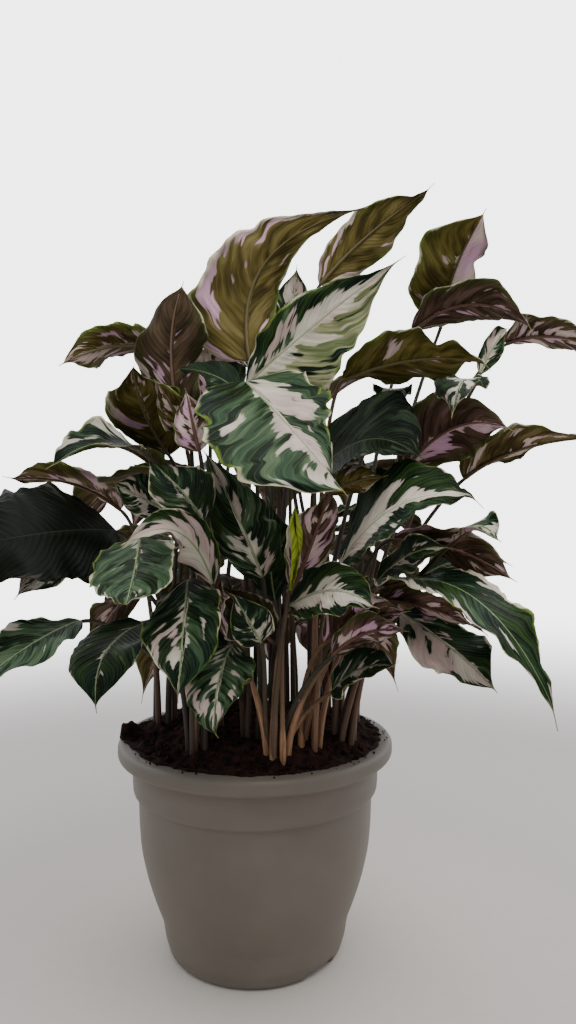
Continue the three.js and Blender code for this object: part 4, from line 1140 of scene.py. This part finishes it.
def peat_finish():
    """Moist dark peat: warm brown on the crumbs, and near black between them, where its bump is
    low, as painted shade.
    """
    n = Nodes("peat")
    place = n.object_place()
    lumps = n.noise(place, 120.0, 5.0, 0.65)
    grit = n.noise(place, 520.0, 3.0, 0.7)
    patches = n.noise(place, 24.0, 3.0, 0.5)
    # Painted shade: near black where the lumps of the bump are low, between the crumbs; warm brown
    # on them, the peat's own colour
    seen = n.blend(n.step(lumps, 0.38, 0.68), (15, 8, 7), (54, 31, 23))
    seen = n.blend(n.step(patches, 0.4, 0.7, 0.0, 0.5), seen, (24, 13, 11))
    seen = n.blend(n.step(grit, 0.62, 0.75, 0.0, 0.5), seen, (104, 66, 46))
    n.bump(n.plus(lumps, n.times(grit, 0.5)), 0.9, 0.0022)
    return n.finish(Base_Color=seen, Roughness=0.95, Specular_IOR_Level=0.15)


def floor_finish():
    """Pale matt floor with the faintest grain, lighter near the pot and darker farther out as
    painted light, which fades into the backdrop far from the pot.
    """
    n = Nodes("floor_paint_and_painted_light")
    place = n.object_place()
    speck = n.noise(place, 60.0, 3.0, 0.6)
    length = n.tree.nodes.new("ShaderNodeVectorMath")
    length.operation = "LENGTH"
    n.put(length.inputs[0], place)
    away = length.outputs["Value"]
    # Painted light: lighter within 0.15 m of the pot, darker beyond 0.5 m
    seen = n.blend(n.step(away, 0.15, 0.5), (198, 191, 184), (180, 174, 172))
    seen = n.blend(n.step(speck, 0.4, 0.8, 0.0, 0.06), seen, (150, 148, 145))
    fading = n.step(away, FADE_FROM, FADE_TO, 1.0, 0.0)
    return n.finish(Base_Color=seen, Roughness=0.75, Alpha=fading)


# The stage

def make_floor():
    """A wide round floor."""
    turns = turns_round(FLOOR_SIDES)
    points = FLOOR_RADIUS * np.stack([np.cos(turns), np.sin(turns), 0 * turns], axis=-1)
    mesh = bpy.data.meshes.new("floor")
    mesh.from_pydata(points.tolist(), [], [list(range(FLOOR_SIDES))])
    mesh.materials.append(floor_finish())
    floor = in_scene("floor", mesh)


def make_light(name, place, target, size, power, tone):
    """A soft square lamp at place that looks at target."""
    lamp = bpy.data.lights.new(name, "AREA")
    lamp.shape = "SQUARE"
    lamp.size = size
    lamp.energy = power
    lamp.color = tone
    obj = in_scene(name, lamp)
    away = np.array(place) - np.array(target)
    pitch = math.atan2(math.hypot(away[0], away[1]), away[2])
    obj.location = place
    obj.rotation_euler = (pitch, 0, math.atan2(away[0], -away[1]))


def make_camera():
    """The photo's camera: level, looking along +Y."""
    camera = bpy.data.cameras.new("camera")
    camera.lens = CAMERA_LENS
    camera.sensor_width = SENSOR_WIDTH
    camera.clip_start = 0.01
    obj = in_scene("camera", camera)
    obj.location = CAMERA_AT
    obj.rotation_euler = (math.pi / 2, 0, 0)
    bpy.context.scene.camera = obj


def make_world():
    """A pale sky that lights the plant, brighter overhead than at the horizon and softer from the
    front, and an even white backdrop that only the camera sees."""
    world = bpy.data.worlds.new("sky")
    world.use_nodes = True
    tree = world.node_tree
    axes = tree.nodes.new("ShaderNodeSeparateXYZ")
    tree.links.new(tree.nodes.new("ShaderNodeTexCoord").outputs["Generated"], axes.inputs[0])
    product = tree.nodes.new("ShaderNodeMath")
    product.operation = "MULTIPLY"
    for socket, (axis, *values) in zip(product.inputs, SKY_RAMPS):
        ramp = tree.nodes.new("ShaderNodeMapRange")
        tree.links.new(axes.outputs[axis], ramp.inputs[0])
        for place, value in zip(ramp.inputs[1:5], values):
            place.default_value = value
        tree.links.new(ramp.outputs[0], socket)
    sky = tree.nodes["Background"]
    sky.inputs[0].default_value = colour(232, 233, 235)
    tree.links.new(product.outputs[0], sky.inputs[1])
    backdrop = tree.nodes.new("ShaderNodeBackground")
    backdrop.inputs[0].default_value = colour(234, 235, 235)
    backdrop.inputs[1].default_value = BACKDROP_LIGHT
    mixer = tree.nodes.new("ShaderNodeMixShader")
    rays = tree.nodes.new("ShaderNodeLightPath")
    tree.links.new(rays.outputs["Is Camera Ray"], mixer.inputs[0])
    tree.links.new(sky.outputs[0], mixer.inputs[1])
    tree.links.new(backdrop.outputs[0], mixer.inputs[2])
    tree.links.new(mixer.outputs[0], tree.nodes["World Output"].inputs[0])
    bpy.context.scene.world = world


make_camera()
make_world()
make_floor()
for row in LAMPS:
    make_light(*row)

pot_points, pot_faces = turned_shell(pot_rings())
pot = piece_from("pot_body", pot_points, pot_faces, pot_finish(), "pot")
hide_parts("pot")

peat_material = peat_finish()
peat_points, peat_faces = turned_shell(peat_rings())
peat = piece_from("soil_heap", peat_points, peat_faces, peat_material, "soil")
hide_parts("soil")
crumbs = piece_from("soil_crumbs", *crumb_points(), peat_material, "soil", None, False)
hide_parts("soil")

make_leaves(leaf_finish(), stalk_finish())
